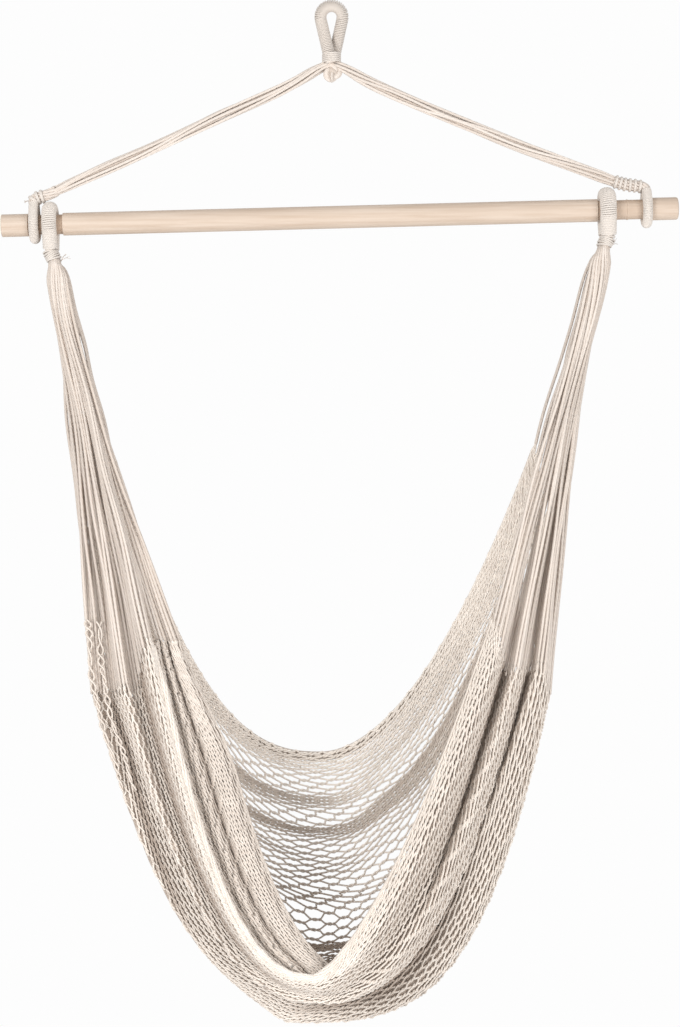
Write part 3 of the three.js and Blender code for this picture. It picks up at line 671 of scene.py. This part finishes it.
def mesh_spots(halves, surface):
    """Spots along a course, in half meshes, and their even spread along the surface."""
    joined = np.arange(JOINED_STEPS + 1) / JOINED_STEPS * JOINED_SHARE
    steps = np.concatenate([joined, [(1 + JOINED_SHARE) / 2]])
    spots = np.concatenate([(np.arange(halves)[:, None] + steps).ravel(), [halves]])
    grid = np.linspace(0, 1, 801)
    points = surface(grid[None], np.linspace(0, 1, 6)[:, None])
    steps = np.linalg.norm(np.diff(points, axis=1), axis=-1).mean(0)
    arc = np.concatenate([[0], np.cumsum(steps)])
    return spots, np.interp(spots / halves * arc[-1], arc, grid)


def net_strands(places, ends, lay, surface, radius, shear=0.0):
    """Lines of strands that twist round one neighbour and then the other.

    shear shifts the meshes along from one course to the next, in half meshes.
    """
    spots, alongs = lay
    halves = spots[-1]
    count = len(places)
    between = np.concatenate([places[:1], (places[1:] + places[:-1]) / 2, places[-1:]])
    course = np.arange(count + 1)
    drift = shear * course + 0.9 * np.sin(course / 5.3 + rng.uniform(0, 6)) + 0.5 * np.sin(course / 2.1)
    window = smooth(np.minimum(spots, halves - spots), 0, 5)
    shifted = np.clip(spots + (drift - drift.mean())[:, None] * window, 0, halves)
    grid = np.interp(shifted, spots, alongs)
    between = np.stack([np.interp(grid[c], alongs, between[c]) for c in range(count + 1)])
    centres = surface(grid, between)
    across, normal = surface_ways(surface, grid, between)
    half = np.floor(spots + 1e-9).astype(int)
    u = spots - half
    angle = TURN * np.minimum(u / JOINED_SHARE, 1)
    blend = smooth(u, JOINED_SHARE, 1)[None, :, None]
    strand = np.arange(count)[:, None]
    t = np.arange(len(spots))[None]

    def in_pair(step, turn):
        below = (strand + half + step) % 2 == 0
        centre = strand + below
        side = np.where(below, -1, 1)[..., None]
        c, s = np.cos(turn)[None, :, None], np.sin(turn)[None, :, None]
        offset = c * across[centre, t] - s * normal[centre, t]
        return centres[centre, t] + radius * side * offset, normal[centre, t]

    now, up = in_pair(0, angle)
    then, _ = in_pair(1, np.zeros_like(angle))
    lines = mix(now, then, blend)
    for column, found in zip((0, -1), ends):
        if found is None:
            continue
        end_places, end_points = found
        nearest = np.abs(places[:, column, None] - end_places[None]).argmin(1)
        target = end_points[nearest][:, None]
        away = spots if column == 0 else halves - spots
        gather = smooth(away, 0, 0.7)[None, :, None]
        lines = mix(target, lines, gather)
    return lines, up


def net_tubes(strands, radius, tone):
    lines, ups = strands
    return tube(lines, ups, radius, STRAND_SIDES, tone=tone, side_shade=STRAND_SIDE_SHADE)


def liner(surface, low, high, count, tone, way=None):
    """Courses of the layers behind, as round cords side by side, their dark tone painted shade."""
    alongs = np.linspace(0.01, 0.99, 150)
    places = course_places(low, high, np.ones((count, len(alongs))), surface, alongs)
    _, normal = surface_ways(surface, alongs[None], places)
    normal = normal * np.sign(normal[..., 1].mean()) if way is None else np.broadcast_to(way, normal.shape)
    lines = surface(alongs[None], places) + LINER_DEPTH * normal
    return tube(lines, -normal, LINER_RADIUS, 5, tone=tone)


def loose_loops():
    """The slack edge of the net on the left: slim chains of loops beside the last clew cords."""
    share = np.linspace(0, 1, 420)
    lines = []
    for chain, (place, offset) in enumerate(LOOSE_CHAINS):
        edge = net_point(np.linspace(0.004, LOOSE_REACH, 60), place)
        top = edge[0] + LOOSE_RISE
        path = respaced(np.concatenate([mix(top, edge[0], np.linspace(0, 1, 30)[:, None])[:-1], edge]), 420)
        phase = math.pi * LOOSE_LOOPS * (share + 0.022 * np.sin(13 * share + 2 * chain)) + chain
        width = LOOSE_HALF_WIDTH * (1 + 0.35 * np.sin(23 * share + 3 * chain)) * mix(1, 0.5, share)
        wander = offset + 1.3 * np.sin(17 * share + chain)
        for turn in (-1, 1):
            open_by = turn * width * np.sin(phase)
            deep = -7.0 - 1.4 * turn * np.cos(phase)
            lines.append(path + np.stack([wander + open_by, deep, 0 * share], -1))
    return tube(lines, (0, -1, 0), 1.2, STRAND_SIDES, tone=0.95, side_shade=STRAND_SIDE_SHADE)


def fold_ends():
    places = (np.arange(FOLD_CLEWS) + 0.5) / FOLD_CLEWS
    return places, fold_point(np.zeros(FOLD_CLEWS), places)


def clew_ends(side):
    """Where the clew cords meet the net: their places and points."""
    along = 0.0 if side < 0 else 1.0
    grid = np.linspace(0, 1, 200)
    edge = net_point(along, grid) * CLEW_SPREAD
    steps = np.linalg.norm(np.diff(edge, axis=0), axis=1)
    if side < 0:
        steps[(grid[1:] > CLEW_SKIP[0]) & (grid[1:] < CLEW_SKIP[1])] *= 1e-3
    arc = np.concatenate([[0], np.cumsum(steps)])
    places = np.interp(np.linspace(0.008, 0.992, CLEW_COUNT) * arc[-1], arc, grid)
    points = net_point(along, places)
    points[:, 0] += side * CLEW_OUT * (places < BACK_END) * 0.8
    points[:, 2] += END_JITTER * rng.normal(size=CLEW_COUNT)
    return places, points


# The pieces


def make_hanging_loop():
    centre = np.array([0, 0, LOOP_OUTER - LOOP_BEND])
    path, leg, length = teardrop(centre, (1, 0, 0), (0, 0, 1), LOOP_BEND, LOOP_SPREAD, LOOP_REACH, 120)
    distance = np.linspace(0, length, len(path))
    from_end = np.minimum(distance, length - distance)
    leg_share = np.clip(1 - from_end / leg, 0, 1)
    side = np.where(distance < length / 2, -1, 1)
    path = path.copy()
    path[:, 1] += side * LOOP_LEG_OFFSET * smooth(leg_share, 0, LOOP_CROSS_SHARE)
    unbound = smooth(from_end, THROAT_LENGTH, THROAT_LENGTH + THROAT_TAPER)
    radius = mix(THROAT_RADIUS, LOOP_CORE_RADIUS, unbound)
    across, _ = carried(path, (0, 1, 0))
    dress("hanging_loop_rope", [tube(path, across, radius, 16)], "cotton_rope", "hanging_loop")

    bare = THROAT_LENGTH + 1
    core = path[(distance > bare) & (distance < length - bare)]
    sizes = (LOOP_OUTER - LOOP_THREAD, LOOP_OUTER - LOOP_THREAD)
    # Painted shade: the loop's whipping is darker than the eyes' whipping of the same thread, to offset the
    # stronger light on the loop
    sets = [winding(core, (0, 1, 0), LOOP_THREAD, 2.15, 12, 7, sizes, tone=0.66)]
    dress("hanging_loop_whipping", sets, "cotton_whipping", "loop_whipping")

    bottom = centre[2] - LOOP_REACH
    post = np.array([[0, 0, bottom + 12.6], [0, 0, bottom + 1.3]])
    sizes = (THROAT_HALF_WIDTH, THROAT_HALF_DEPTH)
    sets = [winding(respaced(post, 40), (1, 0, 0), THROAT_THREAD, 2.45, 28, 8, sizes)]
    dress("throat_binding", sets, "cotton_whipping", "throat_seizing")


def make_knot():
    turn = np.linspace(0, TURN, 160)
    size, wave, depth = KNOT_RING
    ring = size + wave * np.cos(3 * turn)
    knot = [ring * np.cos(2 * turn), depth * np.sin(3 * turn), ring * np.sin(2 * turn)]
    knot = np.stack(knot, -1) + KNOT_CENTRE
    across, _ = carried(knot, (0, 1, 0))
    sets = [tube(knot[:-1], across[:-1], KNOT_STRAND_RADIUS, 12)]
    ball = np.linspace(-0.98, 0.98, 13)
    wide, high = KNOT_CORE_RADII
    core = KNOT_CENTRE + np.stack([0 * ball, 0 * ball, high * ball], -1)
    # The inside of the knot, darkened as painted shade
    sets.append(tube(core, (1, 0, 0), wide * np.sqrt(1 - ball**2) + 0.2, 12, tone=0.6))
    dress("yoke_knot_turns", sets, "cotton_cord", "yoke_knot")

    angle = np.radians(np.linspace(-80, 80, 30))
    sling = KNOT_CENTRE + SLING_BEND * np.stack([0 * angle, np.sin(angle), -np.cos(angle)], -1)
    dress("knot_sling_cord", [tube(sling, (1, 0, 0), SLING_RADIUS, 10)], "cotton_cord", "knot_sling")


def make_bar():
    half = BAR_LENGTH / 2
    profile = [(-half, 0), (-half, BAR_RADIUS - 0.8), (-half + 0.8, BAR_RADIUS)]
    profile += [(-LEFT_GROOVE[1], BAR_RADIUS), (-LEFT_GROOVE[1] + 1, NECK_RADIUS)]
    profile += [(-LEFT_GROOVE[0] - 1, NECK_RADIUS), (-LEFT_GROOVE[0], BAR_RADIUS)]
    profile += [(x, BAR_RADIUS) for x in np.linspace(-300, 300, 13)]
    profile += [(RIGHT_GROOVE[0], BAR_RADIUS), (RIGHT_GROOVE[0] + 1, NECK_RADIUS)]
    profile += [(COLLAR_AT - 1, NECK_RADIUS), (COLLAR_AT, NECK_RADIUS + 0.8), (COLLAR_AT + 2, NECK_RADIUS)]
    profile += [(RIGHT_GROOVE[1] - 1, NECK_RADIUS), (RIGHT_GROOVE[1], BAR_RADIUS)]
    for angle in np.radians(np.linspace(90, 0, 8)):
        profile.append((half - 3 + 3 * math.cos(angle), BAR_RADIUS - 3 + 3 * math.sin(angle)))
    profile.append((half, 0))
    profile = np.array(profile[1:-1])
    line = np.stack([profile[:, 0], 0 * profile[:, 0], 0 * profile[:, 0]], -1)
    angle = round_angles(64)
    ring = np.stack([0 * angle, np.cos(angle), np.sin(angle)], -1)
    rings = line[:, None] + profile[:, 1, None, None] * ring
    # The grooves, the left one most, and the rounded right end take the darker wood colour
    tone = np.where(profile[:, 1] > BAR_RADIUS - 0.9, 1, np.where(profile[:, 0] < 0, 0.55, 0.8))
    tones = np.broadcast_to(tone[None, :, None], (1, len(profile), 64))
    bar = dress("wooden_bar", [{"rings": bar_world(rings)[None], "tone": tones}], "bar_wood", "spreader_bar")
    edges = bar.modifiers.new("edges", "EDGE_SPLIT")
    edges.split_angle = math.radians(28)


def neck_line(side, place, count=16):
    top = np.array([side * place, 0, -CHAIR_DROP - GAP])
    bottom = np.array([side * (place - NECK_LEAN), 0, top[2] - NECK_LENGTH])
    share = np.linspace(0, 1, count)[:, None]
    line = mix(top, bottom, share)
    line[:, 0] = mix(top[0], bottom[0], smooth(share[:, 0]))
    return line


def frayed(foot, way, length, count, radius=0.55, spread=0.35):
    """A cut cord end: a few thin plies that part as they leave."""
    way = unit(np.asarray(way, float))
    sets = []
    for _ in range(count):
        bend = unit(way + spread * rng.normal(size=3))
        curl = unit(bend + spread * rng.normal(size=3) - np.array([0, 0, 0.3]))
        reach = length * rng.uniform(0.75, 1.05)
        path = curve_through([foot, foot + 0.5 * reach * bend, foot + 0.5 * reach * (bend + curl)], 9)
        across, _ = carried(path, (0, 1, 0.1))
        sets.append(tube(path, across, radius * np.linspace(1, 0.55, 9), 6))
    return sets


def make_chair_eye(label):
    side, place = CHAIR_EYES[label]
    bend = NECK_RADIUS + GAP + CHAIR_OUTER
    centre = np.array([side * place, 0, 0])
    path = teardrop(centre, (0, 1, 0), (0, 0, 1), bend, CHAIR_SPREAD, CHAIR_DROP, 120)[0]
    path = bar_world(path)
    across, _ = carried(path, (1, 0, 0))
    sets = [tube(path, across, CHAIR_EYE_RADIUS, 16)]
    dress(f"eye_rope_{label}", sets, "cotton_rope", f"chair_eye_{label}")
    path = path + bar_world((CHAIR_EYE_SHIFTS[label], 0, 0)) - BAR_AT
    sizes = (CHAIR_EYE_WIDTHS[label] / 2 - CHAIR_THREAD, CHAIR_OUTER - CHAIR_THREAD)
    sets = [winding(path[2:-2], (1, 0, 0), CHAIR_THREAD, 2.3, 14, 7, sizes)]
    dress(f"eye_whipping_{label}", sets, "cotton_whipping", f"chair_eye_whipping_{label}")

    line = bar_world(neck_line(side, place))
    # The core under the neck binding, darkened as painted shade where it shows between the turns
    core = tube(line, (1, 0, 0), NECK_DEPTH / 2 - 0.5, 24, tone=0.75, flat=NECK_WIDTH / NECK_DEPTH)
    dress(f"neck_core_{label}", [core], "cotton_cord", f"clew_neck_{label}")
    sizes = (NECK_WIDTH / 2 + 1.35, NECK_DEPTH / 2 + 1.35)
    sets = [winding(respaced(line, 60), (1, 0, 0), NECK_THREAD, 2.35, 26, 8, sizes)]
    dress(f"neck_binding_{label}", sets, "cotton_whipping", f"neck_seizing_{label}")

    foot = neck_line(side, place)[-1] + np.array([NECK_WIDTH / 2 + 2.4, -2, 1.0])
    sets = frayed(bar_world(foot), (0.75, -0.1, 1.0), 12, 5, spread=0.28)
    dress(f"neck_ends_{label}", sets, "cotton_cord", f"neck_tail_{label}")


def make_yoke_end(label):
    side, place, rise = YOKE_EYES[label]
    bend = NECK_RADIUS + GAP + YOKE_EYE_RADIUS
    centre = np.array([side * place, 0, 0])
    path = teardrop(centre, (0, 1, 0), (0, 0, -1), bend, YOKE_SPREAD, rise, 110)[0]
    path = bar_world(path + (YOKE_EYE_SHIFTS[label], 0, 0))
    across, _ = carried(path, (1, 0, 0))
    sets = [tube(path, across, YOKE_EYE_RADIUS - 1.1, 14)]
    sizes = (YOKE_EYE_WIDTH / 2 - YOKE_THREAD, YOKE_EYE_RADIUS - YOKE_THREAD)
    sets.append(winding(path, (1, 0, 0), YOKE_THREAD, 1.85, 14, 6, sizes))
    dress(f"yoke_eye_rope_{label}", sets, "cotton_rope", f"yoke_eye_{label}", look="cotton_whipping")

    run, climb, shares = SPLICES[label]
    route = [(side * (place - run * a), 0, rise + GAP + climb * b) for a, b in shares]
    path = bar_world(curve_through(route, 70))
    share = np.linspace(0, 1, len(path))
    taper = smooth(share, 0, SPLICE_TAPER_SHARE)
    wide = mix(SPLICE_FOOT[0], SPLICE_RADIUS, taper)
    deep = mix(SPLICE_FOOT[1], SPLICE_RADIUS, taper)
    first, second = carried(path, (0, 1, 0))
    strands, ups, tones = [], [], []
    for k in range(9):
        angle = TURN * k / 9 + 1.6 * share
        out = ((deep - 1.7) * np.cos(angle))[:, None] * first
        out = out + ((wide - 1.7) * np.sin(angle))[:, None] * second
        strands.append(path + out)
        ups.append(unit(out))
        tones.append(np.full(len(path), rng.uniform(0.85, 1.05)))
    sets = [tube(strands, ups, YOKE_CORD_RADIUS, 8, tone=tones)]
    # The core under the splice strands, darkened as painted shade
    angle = round_angles(16)
    rings = path[:, None] + ((deep - 1.9)[:, None] * np.cos(angle))[..., None] * first[:, None]
    rings = rings + ((wide - 1.9)[:, None] * np.sin(angle))[..., None] * second[:, None]
    sets.append({"rings": rings[None], "tone": np.full((1, len(path), 16), 0.55)})
    dress(f"splice_strands_{label}", sets, "cotton_cord", f"yoke_splice_{label}")

    at_shares, thick = WRAPS[label]
    sets = []
    for at in at_shares:
        i = int(at * (len(path) - 1))
        turn = np.linspace(0, TURN * 1.9, 44)
        slide = np.linspace(-0.6, 0.6, 44)[:, None] * thick * unit(path[min(i + 1, 69)] - path[i - 1])
        a, b = deep[i] + 0.4 * thick, wide[i] + 0.4 * thick
        ring = path[i] + slide + (a * np.cos(turn))[:, None] * first[i]
        ring = ring + (b * np.sin(turn))[:, None] * second[i]
        sets.append(tube(ring, unit(ring - path[i]), thick / 2, 8))
    dress(f"splice_wraps_{label}", sets, "cotton_whipping", f"yoke_wrap_{label}")
    return path[-1]


def make_yoke_leg(label, end):
    start = KNOT_CENTRE + (0, 0, YOKE_LIFT)
    way = unit(end - start)
    start = start + 2 * way
    end = end + 3.0 * way
    count = 90
    share = np.linspace(0, 1, count)
    middle = mix(start, end, share[:, None])
    middle[:, 2] -= YOKE_SAGS[label] * np.sin(math.pi * share)
    middle[:, 2] += YOKE_SHOULDER * np.exp(-((share - 0.03) / 0.07) ** 2)
    up = np.cross((0, 1, 0), way)
    length = np.linalg.norm(end - start)
    swell = mix(0.7, 1.0, smooth(share * length, 4, 34))
    swell = swell * mix(0.82, 1.0, smooth((1 - share) * length, 0, 26))
    strands, ups, tones = [], [], []
    for ring_radius, number, offset in YOKE_RINGS:
        for k in range(number):
            wander = 0.35 * np.sin(TURN * (rng.uniform(1, 2.4) * share + rng.uniform()))
            angle = TURN * (k + offset) / number + YOKE_TWIST * share + wander
            breathe = 1 + 0.08 * np.sin(TURN * (rng.uniform(1, 3) * share + rng.uniform()))
            out = np.cos(angle)[:, None] * np.array([0, 1, 0]) + np.sin(angle)[:, None] * up
            strands.append(middle + (ring_radius * swell * breathe)[:, None] * out)
            ups.append(out)
            # The inner strands of the leg are darker, as painted shade inside the bundle
            tones.append(np.full(count, rng.uniform(0.82, 1.06) * (0.7 if ring_radius < 3 else 1)))
    nodes = [f"yoke_cord_{label}_{k}" for k in range(1, 5)]
    sets = [tube(strands, ups, YOKE_CORD_RADIUS, 8, tone=tones)]
    dress(f"yoke_leg_{label}", sets, "cotton_cord", *nodes)


def make_clew(label, ends):
    side, place = CHAIR_EYES[label]
    _, targets = ends
    if side < 0:
        targets = np.concatenate([targets, fold_ends()[1]])
    neck = neck_line(side, place)[-1]
    top, middle = bar_world(neck), targets.mean(0)
    count = 80
    share = np.linspace(0, 1, count)[:, None]
    spread = share ** CLEW_GATHERS[label]
    bulge = smooth(share, 0, 0.05) * (1 - smooth(share, 0.08, 0.4))
    strands, ups, tones = [], [], []
    for k in range(len(targets)):
        turn = math.radians(60 + 300 * k / (len(targets) - 1)) + CLEW_TWIST * (1 - share) ** 6 - CLEW_TWIST
        ring = (1.0, 0.62, 0.84)[k % 3]
        across = -side * ring * (NECK_WIDTH / 2 - CLEW_RADIUS + CLEW_BULGE * bulge) * np.cos(turn)
        deep = ring * (NECK_DEPTH / 2 - CLEW_RADIUS) * np.sin(turn)
        out = np.concatenate([across, deep, 0 * deep], 1)
        line = top + out * (1 - spread) + (targets[k] - top) * spread + (middle - top) * (share - spread)
        bow = (FOLD_BOW if k >= CLEW_COUNT else CLEW_BOWS[label]) * rng.uniform(0.6, 1.25)
        swing = np.sin(math.pi * share[:, 0])
        if side < 0 and k == targets[:, 0].argmin():
            bow = STRAY_BOW
            swing = np.sin(math.pi * share[:, 0] ** 1.4)
        line[:, 0] += side * bow * swing
        line[:, 1] += 4 * rng.normal() * swing
        ripple = rng.uniform(1.2, 2.6) * share[:, 0] + rng.uniform()
        line[:, 0] += 1.8 * np.sin(TURN * ripple) * swing
        line[0] += (0, 0, 2.5)
        strands.append(line)
        ups.append(np.broadcast_to((0, 1, 0), line.shape))
        tones.append(np.full(count, rng.uniform(*CLEW_TONES)))
    sets = [tube(strands, ups, CLEW_RADIUS, 8, tone=tones, side_shade=CLEW_SIDE_SHADE)]
    nodes = [f"clew_cord_{label}_{k}" for k in range(1, 13)]
    dress(f"clew_cords_{label}", sets, "cotton_cord", *nodes)


def grouped(groups, strand):
    """Spacing of the courses from groups of (courses, spacing), with short slopes between them."""
    edges = np.concatenate([[0], np.cumsum([n for n, _ in groups])])
    knots = np.sort(np.concatenate([edges[1:-1] - 1.2, edges[1:-1] + 1.2, edges[[0, -1]]]))
    return np.interp(strand, knots, np.repeat([v for _, v in groups], 2))


def back_weights(alongs):
    """Spacing of the back courses: a tight band, then open rows between tighter ones."""
    strand = np.arange(BACK_COURSES)[:, None] + 0.5
    rise = 2.5 * (alongs[None] - 0.5) * smooth(strand, 8, 18)
    centre = grouped(BACK_GROUPS, strand + rise)
    blend = 1 - smooth(np.abs(alongs - 0.5), 0.26, 0.46)[None]
    weights = mix(mix(4.2, 3.5, smooth(11 - strand, 0, 1)), centre, blend)
    weights = mix(weights, grouped(RIGHT_GROUPS, strand), smooth(alongs, 0.5, 0.63)[None])
    noise = waves(strand / BACK_COURSES, alongs[None], 14, (4, 15), (-3.5, 3.5))
    quiet = smooth(strand, 9, 14)
    return weights * np.exp(mix(0.1, 0.42, quiet) * noise)


def make_cloth(name, sets, node, courses=None):
    """A piece of net. The lengths of its courses and the area that its strands cover are worked out and not
    used.
    """
    piece = dress(name, sets, "cotton_net", node)
    courses = courses or sum(len(s["rings"]) for s in sets)
    lengths, cover = [], 0.0
    for s in sets:
        lines = s["rings"].mean(2)
        widths = 2 * np.linalg.norm(s["rings"] - lines[:, :, None], axis=-1).mean((1, 2))
        lengths.append(np.linalg.norm(np.diff(lines, axis=1), axis=-1).sum(1))
        cover += float((lengths[-1] * widths).sum())


def make_net(ends):
    lay = mesh_spots(HALF_MESHES, net_point)
    alongs = lay[1]
    places = course_places(0.0, BACK_END, back_weights(alongs), seat_point, alongs)
    strand = np.arange(BACK_COURSES)[:, None]
    band = 1 - smooth(strand, BAND_COURSES - 1, BAND_COURSES + 1)
    radius = mix(BACK_RADIUS, BAND_RADIUS, band)
    lines, ups = net_strands(places, ends, lay, seat_point, radius[..., None], shear=0.05)
    crowd = np.gradient(places, axis=0)
    # Painted shade: below the band the back net is darker, most where its courses lie close, standing for
    # the shade among its strands; the band and the upper right stay light
    light = 1 - smooth(strand, BAND_COURSES - 1, BAND_COURSES + 6)
    light = mix(light, 1 - smooth(strand, 21, 26), smooth(alongs, 0.5, 0.62)[None])
    tone = mix(0.98, 1.15, light) * mix(mix(0.66, 0.9, light), 1.1, smooth(crowd, 0.003, 0.008))
    tone = tone * rng.uniform(0.92, 1.08, size=(BACK_COURSES, 1))
    parts = [
        ("back_band", slice(0, BAND_COURSES), "back_selvedge"),
        ("back_mesh_upper", slice(BAND_COURSES, 36), "back_net"),
        ("back_mesh_middle", slice(36, 62), "back_net"),
        ("back_mesh_lower", slice(62, BACK_COURSES), "back_net"),
    ]
    for name, rows, node in parts:
        sets = [net_tubes((lines[rows], ups[rows]), radius[rows], tone[rows])]
        if node == "back_selvedge":
            sets.append(liner(net_point, 0.004, float(places[BAND_COURSES - 1].min()) - 0.004, *BAND_LINER))
        make_cloth(name, sets, node)

    strand = np.arange(FRONT_COURSES)[:, None] + 0.5
    weights = np.exp(0.1 * waves(strand / FRONT_COURSES, alongs[None], 10, (3, 12), (-4, 4)))
    left = (1 - smooth(alongs, 0.12, 0.32))[None]
    loose = (1 - smooth(strand, 5, 6)) * left
    kept = FRONT_COURSES - ROLLED_COURSES
    rolled = smooth(strand, kept - 1, kept + 1) * (1 - smooth(alongs, 0.5, 0.66))[None]
    tight = smooth(strand, FRONT_COURSES - 9, FRONT_COURSES - 5) * smooth(alongs, 0.5, 0.66)[None]
    weights = weights * (1 + 0.5 * loose) * mix(1, 0.1, rolled) * mix(1, 0.6, tight)
    places = course_places(BACK_END, FRONT_END, weights, seat_point, alongs)
    radius = np.broadcast_to(mix(*FRONT_RADII, smooth(alongs, 0.45, 0.65)), places.shape)
    lines, ups = net_strands(places, ends, lay, seat_point, radius[..., None], shear=0.12)
    tone = rng.uniform(1.02, 1.16, size=(FRONT_COURSES, 1))
    # Painted shade in the creases between the gathered strips
    tone = tone * (1 - 0.6 * crease_shares(alongs[None], places).max(0))
    tone = tone * (1 - 0.1 * loose) * mix(1.06, 0.9, smooth(alongs, 0.45, 0.7))[None]
    for name, rows in (("front_mesh_lower", slice(0, 25)), ("front_mesh_upper", slice(25, FRONT_COURSES))):
        sets = [net_tubes((lines[rows], ups[rows]), radius[rows], tone[rows])]
        if name == "front_mesh_lower":
            sets.append(loose_loops())
        make_cloth(name, sets, "front_net", 25)
    sets = [liner(seat_point, BACK_END + LINER_FROM, FRONT_END - 0.02, LINER_COURSES, LINER_SHADE, (0, 1, 0))]
    sets.append(liner(fold_point, 0.03, 0.96, *FOLD_LINER, (0, 1, 0)))
    make_cloth("front_layers", sets, "front_net")

    lay = mesh_spots(FOLD_HALF_MESHES, fold_point)
    places = course_places(0.0, 1.0, np.ones((FOLD_COURSES, len(lay[1]))), fold_point, lay[1])
    strands = net_strands(places, (fold_ends(), None), lay, fold_point, FOLD_RADIUS, 0.38)
    # Painted shade along the groove of the turned-in strip
    tone = 0.95 - 0.35 * np.exp(-((places - FOLD_GROOVE_SHADE[0]) / FOLD_GROOVE_SHADE[1]) ** 2)
    sets = [net_tubes(strands, FOLD_RADIUS, tone)]
    share = np.linspace(0, 1, 160)
    edge = fold_point(share, np.ones(160))
    across, _ = surface_ways(fold_point, share, np.full(160, 0.998))
    sets.append(tube(edge, across, 1.9, 8, tone=0.8))
    make_cloth("turned_in_fold", sets, "front_net")

    share = np.linspace(0, 1, 320)
    line = net_point(mix(0.006, 0.994, share), np.ones(320))
    across, normal = surface_ways(net_point, mix(0.006, 0.994, share), np.full(320, 0.995))
    radius = mix(LEFT_ROLL_RADIUS, RIGHT_ROLL_RADIUS, smooth(share, 0.5, 0.72))
    radius = radius * mix(0.3, 1, smooth(share, 0, 0.06))
    strands, roll_ups = [], []
    for k in range(ROLL_STRANDS):
        angle = TURN * (k / ROLL_STRANDS + 4.5 * share)
        out = np.cos(angle)[:, None] * across + np.sin(angle)[:, None] * normal
        ripple = 1 + 0.1 * np.sin(TURN * (26 * share + k / ROLL_STRANDS))
        strands.append(line + (radius * ripple)[:, None] * out)
        roll_ups.append(out)
    tone = mix(1.02, 0.85, smooth(share, 0.5, 0.6))
    sets = [tube(strands, roll_ups, 0.33 * radius + 0.35, 7, tone=tone)]
    # The core under the roll's strands, darkened as painted shade
    sets.append(tube(line, normal, 0.9 * radius, 10, tone=0.7))
    make_cloth("front_roll", sets, "front_selvedge")


def make_tail():
    side, place, rise = YOKE_EYES["left"]
    foot = np.array([side * (place + 6.5), -3, rise + 4])
    sets = frayed(bar_world(foot), (-1.0, 0, -0.2), 7, 4, radius=0.7, spread=0.2)
    dress("yoke_cut_end", sets, "cotton_cord", "yoke_tail_left")


# Camera, floor and light


def make_camera():
    data = bpy.data.cameras.new("camera")
    data.sensor_fit = "HORIZONTAL"
    data.sensor_width = SENSOR_WIDTH
    data.lens = SENSOR_WIDTH * -CAMERA_AT[1] / VIEW_WIDTH
    data.clip_end = 100
    camera = add_object("camera", data)
    camera.location = [value * METRES for value in CAMERA_AT]
    camera.rotation_euler = (math.pi / 2, 0, 0)
    bpy.context.scene.camera = camera


def mixed_shader(tree, factor, first, second, output):
    blend = add(tree, "MixShader")
    for socket, source in zip(blend.inputs, (factor, first.outputs[0], second.outputs[0])):
        tree.links.new(source, socket)
    tree.links.new(blend.outputs[0], tree.nodes[output].inputs["Surface"])


def make_floor():
    half = FLOOR_SIDE / 2 * METRES
    corners = [(-half, -half, 0), (half, -half, 0), (half, half, 0), (-half, half, 0)]
    mesh = bpy.data.meshes.new("floor")
    mesh.from_pydata(corners, [], [(0, 1, 2, 3)])
    floor = add_object("floor", mesh)
    floor.location.z = FLOOR_HEIGHT * METRES
    material, tree, bsdf = shader("floor")
    fill(tree, bsdf, Base_Color=(0.86, 0.86, 0.86, 1), Roughness=0.9)
    length = add(tree, "VectorMath")
    length.operation = "LENGTH"
    tree.links.new(add(tree, "TexCoord").outputs["Object"], length.inputs[0])
    fade = add(tree, "MapRange", From_Min=0.7, From_Max=1.75, Value=length.outputs["Value"])
    mixed_shader(tree, fade.outputs[0], bsdf, add(tree, "Emission"), "Material Output")
    mesh.materials.append(material)


def make_light():
    world = bpy.data.worlds.new("studio")
    bpy.context.scene.world = world
    world.use_nodes = True
    tree = world.node_tree
    plain = fill(tree, tree.nodes["Background"], Color=(1, 1, 1, 1), Strength=WORLD_LIGHT)
    shown = add(tree, "Background", Color=(SHOWN_WHITE, SHOWN_WHITE, SHOWN_WHITE, 1))
    rays = add(tree, "LightPath").outputs
    seen = math_of(tree, "MAXIMUM", rays["Is Camera Ray"], rays["Is Glossy Ray"])
    seen = math_of(tree, "MAXIMUM", seen, rays["Is Transmission Ray"])
    mixed_shader(tree, seen, plain, shown, "World Output")
    for name, at, power, size in LAMPS:
        data = bpy.data.lights.new(name, "AREA")
        data.energy = power
        data.size = size
        lamp = add_object(name, data)
        lamp.location = at
        aim = np.array([0, 0, -0.75]) - np.array(at)
        lamp.rotation_euler = (math.acos(-aim[2] / np.linalg.norm(aim)), 0, math.atan2(-aim[0], aim[1]))


make_camera()
make_hanging_loop()
make_knot()
make_bar()
ends = [clew_ends(-1), clew_ends(1)]
for label, net_ends in zip(("left", "right"), ends):
    make_chair_eye(label)
    make_yoke_leg(label, make_yoke_end(label))
    make_clew(label, net_ends)
make_tail()
make_net(ends)
make_floor()
make_light()
bpy.context.scene.view_settings.view_transform = "Standard"
